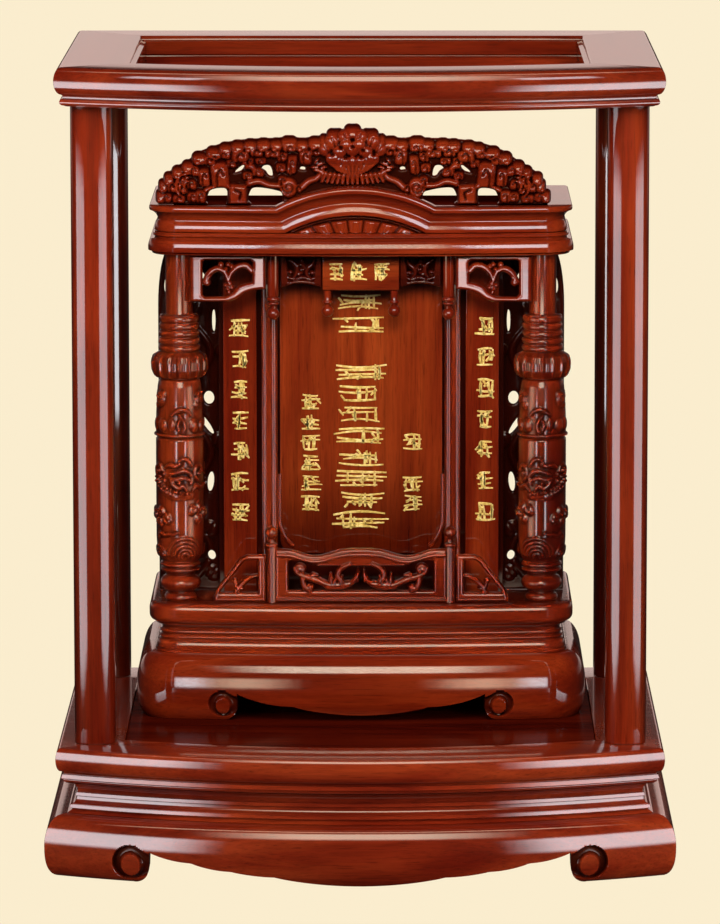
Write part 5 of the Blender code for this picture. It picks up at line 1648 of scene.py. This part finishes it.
def front_tier(relief, shift):
    """One face of the carved body: cloud hooks, knots, a beaded band, side leaves and two rainbows."""
    relief.strokes(TIER_STROKES, 1, shift)
    relief.strokes([(knot, (1.2, 1.7, 1), 1.9, 0) for knot in TIER_KNOTS], 1, shift)
    relief.domes(TIER_MARKS, 1, shift)
    for s in (shift - 0.0175, shift + 0.0165):
        relief.domes(TIER_CLOUD, 1, s)
        relief.stroke(spiral(s, 0.3065, 0.0040, 0.0012, 0.5, 1.2), 0.0009, 0.0010, 0.0012)
    for i in range(13):
        t = i / 12
        s, z = shift - 0.0080 + 0.0290 * t, 0.2412 + 0.0110 * t * t
        relief.dome(s, z, 0.0011, 0.0014, 0.0021)
        if i > 4:
            relief.dome(s + 0.0008, z - 0.0030, 0.0011, 0.0013, 0.0019)
    for i, (s, z) in enumerate(TIER_LEAVES):
        relief.dome(shift + s, z, 0.0036, 0.0044, 0.0016, 0.5 if s < 0 else -0.5)
        relief.stroke(spiral(shift + s, z, 0.0030, 0.0008, 1.0 + i, 1.1), 0.0008, 0.0007, 0.0013)
    rainbows = ((-0.0045, 0.0028, 5, 0.0012, 11), (0.0200, 0.0026, 3, 0.0011, 9))
    for s, spacing, count, width, points in rainbows:
        turns = np.linspace(0.15, math.pi - 0.15, points)
        for k in range(count):
            radius = spacing * (k + 1)
            arc = [(shift + s + radius * math.cos(a), 0.1968 + 0.95 * radius * math.sin(a)) for a in turns]
            relief.stroke(arc, width, width)


def carved_body():
    """The body's relief, unrolled, and the painted shade of its hollows."""
    girth = 2 * math.pi * BODY_RADIUS
    step = girth / COLUMN_SIDES
    relief = Relief((-girth / 2, girth / 2 - step), (BODY_LOW_Z, BODY_HIGH_Z), step)
    for field in ("xs", "x", "z", "height", "solid"):
        setattr(relief, field, getattr(relief, field)[:COLUMN_SIDES])
    relief.solid = relief.solid + 2.0
    for shift in (0.0, -girth / 2, girth / 2):
        front_tier(relief, shift)
    relief.height = np.clip(relief.height, 0, 0.0021)
    cavity = relief.cavity(3, 1100.0)
    relief.groove([(-girth / 2, 0.2794), (0.0, 0.2794), (girth / 2, 0.2794)], 0.0011, 0.0010)
    return relief, cavity


def column_foot():
    """A low plinth, a bulb and two rings."""
    rows = [(0.0095, STAND_Z), (0.0104, STAND_Z + 0.0006)]
    rows += [(0.0111, 0.1668), (0.0112, 0.1684), (0.0104, 0.1698), (0.0090, 0.1705)]
    turns = np.linspace(0.72, math.pi - 0.78, 16)
    rows += [(0.0142 * math.sin(a), 0.1777 - 0.0075 * math.cos(a)) for a in turns]
    rows += [(0.0104, 0.1838), (0.0106, 0.1853), *ring_rows(0.1857, 0.1886, 0.0122, 0.0139), (0.0122, 0.1889)]
    return rows + [*ring_rows(0.1892, 0.1921, 0.0124, 0.0142), (0.0132, 0.1924)]


def column_collars():
    """Five rings, each a little smaller, and a neck."""
    rows = []
    for i in range(5):
        bottom = 0.3386 + 0.0050 * i
        rows += ring_rows(bottom, bottom + 0.0047, 0.0128, 0.0146 - 0.0002 * i, 8)
        rows.append((0.0128, bottom + 0.0050))
    return rows + [(0.0110, 0.3640), (0.0096, 0.3644), (0.0094, 0.3654), (0.0094, HANG_Z)]


def column(sign):
    relief, cavity = carved_body()
    angles = sign * relief.xs / BODY_RADIUS
    x, y = centre_of("column_right")
    rings, cavities = [], []

    def add(radius, z, hollow_shade=0.0):
        across, forward = radius * np.sin(angles), radius * np.cos(angles)
        rings.append(np.stack([sign * x + across, y - forward, z + 0 * angles], 1))
        cavities.append(hollow_shade + 0 * angles)

    for radius, z in column_foot():
        add(radius, z)
    body_radii, body_heights = zip(*BODY_ROWS)
    for j, z in enumerate(relief.zs[1:-1], 1):
        ease = min(1.0, (z - BODY_LOW_Z) / 0.003, (BODY_HIGH_Z - z) / 0.002)
        # The carving's hollows take painted shade.
        add(np.interp(z, body_heights, body_radii) - BODY_CUT + relief.height[:, j] * ease, z, cavity[:, j])
    for z in np.linspace(0.3202, 0.3384, 34):
        share = (z - 0.3202) / 0.0182
        bulb = np.abs(np.cos(angles * 8)) ** 0.6
        fade = np.sin(math.pi * min(1.0, share * 1.05)) ** 0.4
        flute = (0.0012 * bulb + 0.0006 * np.cos(angles * 32) * bulb) * fade
        # Painted shade between the flutes.
        add(np.interp(share, CAPITAL_SHARE, CAPITAL_RADIUS) - 0.0008 + flute, z, 0.6 * (1 - bulb))
    for radius, z in column_collars():
        add(radius, z)
    solid = "column_left" if sign < 0 else "column_right"
    piece(f"{solid}_carved", loft(rings), COLUMN_WOOD, [solid], smooth=45, cavity=np.concatenate(cavities))


# Flat boards


BOARD_EDGE = 0.0008


def board_prism(outline, y_front, y_back):
    """An upright board with softly rounded front edges, from an outline of (x, z) points that is convex."""
    outline = np.asarray(outline, float)
    centre = (outline.max(0) + outline.min(0)) / 2
    half = (outline.max(0) - outline.min(0)) / 2
    rings = [np.stack([outline[:, 0], y_back + 0 * outline[:, 0], outline[:, 1]], 1)]
    for i in range(5):
        angle = math.pi / 2 * i / 4
        inset = BOARD_EDGE * (1 - math.cos(angle))
        y = y_front + BOARD_EDGE * (1 - math.sin(angle))
        scaled = centre + (outline - centre) * (1 - inset / half)
        rings.append(np.stack([scaled[:, 0], y + 0 * scaled[:, 0], scaled[:, 1]], 1))
    return loft(rings)


def rectangle(x0, x1, z0, z1):
    x0, x1 = sorted((x0, x1))
    return [(x0, z0), (x1, z0), (x1, z1), (x0, z1)]


BEAD_SIDES = 10
BEAD_SQUASH = 0.7


def bead_strip(points, radius, y):
    """A raised rounded line along (x, z) points on a board's face."""
    path = curve_through(points, 6)
    ahead = np.gradient(path, axis=0)
    ahead /= np.maximum(np.linalg.norm(ahead, axis=1), 1e-9)[:, None]
    normal = np.stack([-ahead[:, 1], ahead[:, 0]], 1)
    rings = []
    for (x, z), (nx, nz) in zip(path, normal):
        ring = []
        for k in range(BEAD_SIDES + 1):
            angle = math.pi * k / BEAD_SIDES
            across = radius * math.cos(angle)
            ring.append((x + nx * across, y - BEAD_SQUASH * radius * math.sin(angle), z + nz * across))
        rings.append(ring)
    return loft(rings)


NAME_BOARD_DROP = 0.0045
NAME_BOARD_RADIUS = 0.0100
RAIL_BEAD = 0.0011
RAIL_STRIPES = ((0.0602, 0.0026), (0.0664, 0.0018))
NAME_EDGE = mm(((56.5, 250), (56.5, 220), (55.2, 212), (51.5, 204), (47, 199.2)))


def plain_board(node_name, recess=0.0):
    """A rectangular board with softened front edges."""
    start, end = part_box(node_name)
    return board_prism(rectangle(start.x, end.x, start.z, end.z), start.y + recess, end.y)


def name_board():
    """A board with rounded lower corners, carried on down behind the balustrade."""
    start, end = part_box("name_board")
    radius, foot = NAME_BOARD_RADIUS, start.z - NAME_BOARD_DROP
    outline = [(end.x, end.z), (start.x, end.z)]
    for sign, first in ((-1, math.pi), (1, 1.5 * math.pi)):
        x = sign * (end.x - radius)
        for angle in np.linspace(first, first + math.pi / 2, 9):
            outline.append((x + radius * math.cos(angle), foot + radius + radius * math.sin(angle)))
    return board_prism(outline, start.y, end.y)


def board_rail(side, sign):
    """A flat rail with two rounded stripes up its face."""
    start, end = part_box(f"board_rail_{side}")
    heights = (start.z + 0.001, (start.z + end.z) / 2, end.z - 0.001)
    y = start.y + 0.0020
    stripes = [bead_strip([(sign * x, z) for z in heights], radius, y) for x, radius in RAIL_STRIPES]
    return join(plain_board(f"board_rail_{side}", RAIL_BEAD), *stripes)


def build_boards():
    piece("back_panel", plain_board("back_board"), SHADE_WOOD, ["back_board"])
    piece("name_panel", name_board(), NAME_WOOD, ["name_board"])
    piece("plaque_board", plain_board("plaque"), BRIGHT_X, ["plaque"])
    for side, sign in (("left", -1), ("right", 1)):
        couplet = f"couplet_board_{side}"
        piece(f"couplet_{side}", plain_board(couplet), COUPLET_WOOD, [couplet])
        piece(f"rail_{side}", board_rail(side, sign), WOOD_Z, [f"board_rail_{side}"])
        edge = bead_strip([(sign * x, z) for x, z in NAME_EDGE], 0.0017, low("name_board").y)
        piece(f"name_edge_{side}", edge, WOOD_Z, [])


# Gilded strokes: rows of short tapered marks in the place of the inscriptions. They aren't letters


random.seed(5)


def tapered_mark(x, z, length, width, turn, bow, y):
    """A flat tapered brush mark with a slightly crowned face."""
    rings = []
    count = 7
    for i in range(count):
        t = i / (count - 1)
        along_mark = (t - 0.5) * length
        side = bow * math.sin(math.pi * t)
        half = width / 2 * (0.55 + 0.45 * math.sin(math.pi * (0.15 + 0.8 * t)))
        c, s = math.cos(turn), math.sin(turn)
        ring = []
        for across, stand in ((-half, 0.0), (-0.6 * half, 0.0005), (0.6 * half, 0.0005), (half, 0.0)):
            px, pz = along_mark, side + across
            ring.append((x + px * c - pz * s, y - stand, z + px * s + pz * c))
        rings.append(ring)
    return loft(rings)


MARK_TURNS = (0.0, math.pi / 2, 0.9, -0.9)


def mark_cluster(x, z, width, height, y, thickness):
    """One group of crossing marks about (x, z): some level, some upright, some slanting."""
    marks = []
    levels = [0.42, 0.14, -0.14, -0.40]
    random.shuffle(levels)
    kinds = [0, 0, 0, 1, 1, 1, 2, 3, random.choice((0, 1)), random.choice((2, 3))]
    for kind in kinds:
        px = x + random.uniform(-0.36, 0.36) * width
        pz = z + random.uniform(-0.34, 0.34) * height
        if kind == 0 and levels:
            px, pz = x + random.uniform(-0.05, 0.05) * width, z + levels.pop() * height
        reach = (width, height, 0.55 * height, 0.55 * height)[kind] * random.uniform(0.55, 0.98)
        pz = z + (pz - z) * (1 - reach / height) if kind == 1 else pz
        turn = MARK_TURNS[kind] + random.uniform(-0.12, 0.12) * height / max(width, height)
        bow = random.uniform(-0.06, 0.06) * reach
        marks.append(tapered_mark(px, pz, reach, thickness * random.uniform(0.85, 1.2), turn, bow, y))
    return marks


def marks_on(name, board, places, width, height, thickness):
    y = low(board).y
    marks = []
    for x, z in places:
        marks += mark_cluster(x, z, width, height, y, thickness)
    piece(name, join(*marks), GOLD, [])


def column_of(x, top, bottom, count):
    return [(x, top + (bottom - top) * i / (count - 1)) for i in range(count)]


def build_marks():
    centre = column_of(-0.0007, 0.3696, 0.3536, 2) + column_of(-0.0007, 0.3210, 0.2169, 8)
    plaque = [(x, 0.3937) for x in (-0.0169, -0.0016, 0.0142)]
    left, right = column_of(-0.0835, 0.3516, 0.2233, 7), column_of(0.0855, 0.3533, 0.2240, 7)
    name_left = column_of(-0.0346, 0.3001, 0.2292, 6)
    name_right = [(0.0358, z) for z in (0.2722, 0.2428, 0.2295)]
    marks_on("plaque_marks", "plaque", plaque, 0.0122, 0.0128, 0.0017)
    marks_on("couplet_marks_left", "couplet_board_left", left, 0.0140, 0.0132, 0.0017)
    marks_on("couplet_marks_right", "couplet_board_right", right, 0.0140, 0.0132, 0.0017)
    marks_on("centre_marks", "name_board", centre, 0.0378, 0.0114, 0.0017)
    marks_on("name_marks_left", "name_board", name_left, 0.0145, 0.0112, 0.0015)
    marks_on("name_marks_right", "name_board", name_right, 0.0145, 0.0112, 0.0015)


# The case floor keeps its CAD shape and takes a finished material


def finish_case_floor():
    made = frame["nodes"]["case_floor_panel"]
    for slot in made.material_slots:
        slot.material = FLOOR_WOOD


# Floor, light and camera


CREAM = (0.982, 0.863, 0.631)
WALL = (0.80, 0.59, 0.53)
FLOOR_HALF_SIZE = 14.0
DOME_RADIUS = 13.5


def stage_mesh(name, verts, faces, glow):
    """Part of the pale set, seen by the camera only, so that its brightness stays even."""
    mesh = bpy.data.meshes.new(name)
    mesh.from_pydata(verts, [], faces)
    made = bpy.data.objects.new(name, mesh)
    bpy.context.scene.collection.objects.link(made)
    material, tree, shader = blank_material(f"pale_{name}")
    plug(tree, shader, {
        "Base Color": (0.0, 0.0, 0.0),
        "Roughness": 1.0,
        "Specular IOR Level": 0.0,
        "Emission Color": CREAM,
        "Emission Strength": glow,
    })
    mesh.materials.append(material)
    for kind in ("glossy", "diffuse", "transmission", "shadow"):
        setattr(made, f"visible_{kind}", False)


def build_floor():
    size = FLOOR_HALF_SIZE
    corners = [(-size, -size, 0), (size, -size, 0), (size, size, 0), (-size, size, 0)]
    stage_mesh("floor", corners, [(0, 1, 2, 3)], 0.98)
    around, up = 48, 12
    points, faces = [], []
    for j in range(up + 1):
        tilt = math.pi / 2 * j / up * 0.999
        reach, height = DOME_RADIUS * math.cos(tilt), DOME_RADIUS * math.sin(tilt) - 0.02
        for i in range(around):
            turn = 2 * math.pi * i / around
            points.append((reach * math.cos(turn), reach * math.sin(turn), height))
    for j in range(up):
        for i in range(around):
            k = (i + 1) % around
            here, above = j * around, (j + 1) * around
            faces.append((here + i, here + k, above + k, above + i))
    stage_mesh("backdrop", points, faces, 0.96)


def soft_edges(light, sideways, upward):
    """Fades an area light out towards its edges, as a softbox does. Fades are shares of its size."""
    light.use_nodes = True
    tree = light.node_tree
    corner = node(tree, "ShaderNodeNewGeometry", {}).outputs["Parametric"]
    place = node(tree, "ShaderNodeSeparateXYZ", {"Vector": corner}).outputs
    strength = 1.0
    for axis, fade in (("X", sideways), ("Y", upward)):
        for start, stop in ((0.0, fade), (1.0, 1.0 - fade)):
            share = spread(tree, place[axis], start, stop, kind="SMOOTHSTEP")
            factors = {0: strength, 1: share}
            strength = node(tree, "ShaderNodeMath", factors, operation="MULTIPLY").outputs["Value"]
    tree.links.new(strength, tree.nodes["Emission"].inputs["Strength"])


def softbox(name, place, facing, size, radiance, colour, fades, receivers, blockers, use):
    """A rectangular area light of a given brightness, hidden from the camera.

    It shines on its receivers only, shaded by its blockers only; None stands for everything. Its use may be
    "gloss" (a reflection without fill), "fill" (the reverse) or "both".
    """
    light = bpy.data.lights.new(name, "AREA")
    light.shape = "RECTANGLE"
    light.size, light.size_y = size
    light.energy = radiance * math.pi * size[0] * size[1]
    light.color = colour
    soft_edges(light, *fades)
    made = bpy.data.objects.new(name, light)
    made.location = place
    made.rotation_euler = Vector(facing).to_track_quat("-Z", "Y").to_euler()
    made.visible_camera = False
    made.visible_glossy = use != "fill"
    made.visible_diffuse = use != "gloss"
    bpy.context.scene.collection.objects.link(made)
    for role, pieces in (("receiver", receivers), ("blocker", blockers)):
        if pieces:
            group = bpy.data.collections.new(f"{name}_{role}s")
            for found in pieces:
                group.objects.link(found)
            setattr(made.light_linking, f"{role}_collection", group)


COOL_WHITE = (0.90, 0.94, 1.0)
WARM_WHITE = (1.0, 0.87, 0.67)
PEACH = (1.0, 0.72, 0.50)
PINKISH_WHITE = (1.0, 0.88, 0.86)
CASE_NAMES = ("case_", "top_rail", "platform_rail", "waist_moulding", "skirt", "post_front", "post_back")
UPPER_NAMES = ("cornice", "crown", "fan", "plaque", "curl_panel", "bracket", "pendant", "name_panel")
UPPER_NAMES += ("couplet", "back_panel", "fretwork", "centre_marks", "name_marks")
TURNED_NAMES = ("column", "post_left_turned", "post_right_turned", "pendant")

# Softboxes: name, place, direction, size, radiance, colour, faded shares, lit pieces, shading pieces and use.
# Those named after a side are drawn for the right-hand one and mirrored
FRONT_BOX = ((0.81, -0.635, 0.22), (-0.59, 0.81, 0))
LOWER_BOX = ((0.37, -0.92, 0.14), (-0.3, 1, 0))
TABLET_FRONT = ((0, -1.25, 0.75), (0, 1, 0))
SOFTBOXES = (
    ("{side}_box", *FRONT_BOX, (1.05, 0.62), 11.0, COOL_WHITE, (0.22, 0.20), "rails", None, "both"),
    ("{side}_column_box", *FRONT_BOX, (0.97, 0.62), 4.5, PEACH, (0.45, 0.20),
     "turned_{other}", "tablet", "gloss"),
    ("upper_{side}", (0.66, -0.96, 1.05), (-0.66, 0.9, -0.7), (0.34, 0.30), 9.0, COOL_WHITE, (0.2, 0.2),
     "top_rails", None, "both"),
    ("tablet_{side}", *LOWER_BOX, (0.17, 0.43), 11.0, COOL_WHITE, (0.40, 0.25), "glossy", "tablet", "gloss"),
    ("base_{side}", (0.235, -0.92, 0.14), (-0.2, 1, 0), (0.27, 0.43), 8.5, PEACH, (0.50, 0.25),
     "base_skirt", "tablet", "gloss"),
    ("cornice_{side}", (0.37, -1.10, 0.83), (-0.34, 1, -0.3), (0.36, 0.52), 12.0, COOL_WHITE, (0.2, 0.15),
     "upper", "tablet", "both"),
    ("rear_{side}", (1.3, 1.2, 1.1), (-1.3, -1.2, -0.8), (0.9, 0.9), 2.6, WARM_WHITE, (0.2, 0.2),
     None, None, "fill"),
    ("back_{side}", (0.5, 1.8, 0.7), (-0.5, -1.8, -0.45), (0.9, 0.9), 7.0, WARM_WHITE, (0.2, 0.2),
     "pieces", None, "fill"),
    ("front_panel", (0, -1.155, 1.455), (0, 0.89, -0.6), (1.70, 1.08), 9.6, WARM_WHITE, (0.40, 0.25),
     "case", None, "both"),
    ("post_key", (0, -1.75, 1.0), (0, 1.75, -0.7), (0.9, 0.7), 30.0, WARM_WHITE, (0.1, 0.1),
     "front_posts", "case", "fill"),
    ("tablet_panel", *TABLET_FRONT, (0.84, 0.83), 9.0, WARM_WHITE, (0.30, 0.12), "lower", "tablet", "both"),
    ("bracket_panel", (0, -0.92, 0.22), (0, 1, 0), (0.52, 0.36), 11.0, PINKISH_WHITE, (0.15, 0.15),
     "brackets", "tablet", "gloss"),
    ("line_panel", *TABLET_FRONT, (1.18, 0.83), 9.0, WARM_WHITE, (0.08, 0.12),
     "base_lines", "tablet", "both"),
    ("skirt_panel", (0, -1.15, 0.993), (0, 0.763, -0.647), (0.84, 0.65), 11.5, WARM_WHITE, (0.30, 0.15),
     "base_skirt", "tablet", "both"),
    ("cornice_panel", (0, -1.25, 1.02), (0, 1, 0), (0.50, 0.80), 8.0, WARM_WHITE, (0.2, 0.12),
     "upper", "tablet", "both"),
    ("tablet_key", (0, -1.75, 1.25), (0, 1.75, -0.95), (0.9, 0.7), 36.0, WARM_WHITE, (0.1, 0.1),
     "tablet", "tablet", "fill"),
    ("overhead_strip", (0, -0.55, 1.75), (0, 0.5, -1.4), (2.4, 0.22), 7.0, PEACH, (0.2, 0.2),
     "case", None, "both"),
)
POST_X = 0.179


def lit_groups():
    """The groups of pieces that a light may be kept to."""
    meshes = [found for found in bpy.data.objects if found.type == "MESH"]

    def named(pieces, *starts):
        return [found for found in pieces if found.name.startswith(starts)]

    def without(pieces, *others):
        return [found for found in pieces if all(found not in group for group in others)]

    pieces = without(meshes, named(meshes, "floor", "backdrop"))
    case = named(pieces, *CASE_NAMES)
    posts = named(case, "post_")
    tablet = without(pieces, case)
    upper = named(tablet, *UPPER_NAMES)
    brackets = named(upper, "bracket")
    base_skirt = named(tablet, "base_skirt")
    base_lines = named(tablet, "base_slab", "base_waist")
    lower = without(tablet, upper, base_skirt, base_lines)
    turned = named(tablet, *TURNED_NAMES)
    return {
        "pieces": pieces, "case": case, "posts": posts, "rails": without(case, posts),
        "front_posts": named(posts, "post_front"), "top_rails": named(case, "top_rail"),
        "tablet": tablet, "upper": upper, "lower": lower, "brackets": brackets,
        "base_skirt": base_skirt, "base_lines": base_lines, "glossy": lower + base_skirt + brackets,
        "turned_left": [found for found in turned if "left" in found.name],
        "turned_right": [found for found in turned if "right" in found.name],
    }


def light_posts(side, sign, groups):
    """Softboxes that each post mirrors: both sides of a front post, the inner side of a back post."""
    for post in groups["posts"]:
        x = math.copysign(POST_X, post.bound_box[0][0])
        if post in groups["front_posts"]:
            place, facing = (x + sign * 0.546, -0.70, 0.17), (-sign * 0.68, 0.73, 0)
            size, radiance, fades = (1.08, 1.0), 6.5, (0.10, 0.10)
        elif x * sign < 0:
            place, facing = (x + sign * 0.31, -0.70, 0.37), (-sign * 0.34, 0.94, 0)
            size, radiance, fades = (0.52, 0.60), 14.0, (0.06, 0.10)
        else:
            continue
        name = f"{side}_{post.name}_box"
        softbox(name, place, facing, size, radiance, COOL_WHITE, fades, [post], groups["case"], "gloss")


def build_lights():
    """The case has tall side boxes and panels in front; the tablet inside it has its own."""
    groups = {None: None, **lit_groups()}
    for side, other, sign in (("left", "right", -1), ("right", "left", 1), ("", "", 1)):
        if side:
            light_posts(side, sign, groups)
        for name, (x, *place), (facing_x, *facing), *looks, lit, shading, use in SOFTBOXES:
            if ("{side}" in name) != bool(side):
                continue
            receivers = groups[lit and lit.format(other=other)]
            place, facing = (sign * x, *place), (sign * facing_x, *facing)
            softbox(name.format(side=side), place, facing, *looks, receivers, groups[shading], use)


def build_world():
    """Dark surroundings, with a bright low wall behind that the flat tops mirror."""
    world = bpy.data.worlds.new("studio")
    bpy.context.scene.world = world
    world.use_nodes = True
    tree = world.node_tree
    background = tree.nodes["Background"]
    direction = node(tree, "ShaderNodeTexCoord", {}).outputs["Generated"]
    parts = node(tree, "ShaderNodeSeparateXYZ", {"Vector": direction})
    dark = (0.020, 0.016, 0.014)
    wall = ramp(tree, parts.outputs["Z"], [(0.0, dark), (0.004, WALL), (0.145, WALL), (0.185, dark)])
    behind = ramp(tree, parts.outputs["Y"], [(0.30, (0.0, 0.0, 0.0)), (0.85, (1.0, 1.0, 1.0))])
    plug(tree, background, {"Color": mix(tree, "MIX", behind, dark, wall), "Strength": 1.0})


def build_camera():
    camera = bpy.data.cameras.new("camera")
    camera.sensor_fit = "VERTICAL"
    camera.sensor_height = 36.0
    camera.lens = 244.13
    camera.shift_x = -0.0368
    camera.clip_end = 60.0
    made = bpy.data.objects.new("camera", camera)
    made.location = (0.02271, -4.2524, 0.92044)
    made.rotation_euler = (math.radians(90 - 8.8), 0.0, 0.0)
    bpy.context.scene.collection.objects.link(made)
    bpy.context.scene.camera = made


def main():
    build_case()
    build_tablet_base()
    build_cornice()
    build_crown()
    for sign in (-1, 1):
        corner_bracket(sign)
        pierced_panel(sign)
        balustrade_bracket(sign)
        side_fretwork(sign)
        column(sign)
    balustrade()
    build_turned()
    build_boards()
    build_marks()
    finish_case_floor()
    build_floor()
    build_lights()
    build_world()
    build_camera()
    bpy.context.scene.view_settings.view_transform = "Standard"


main()
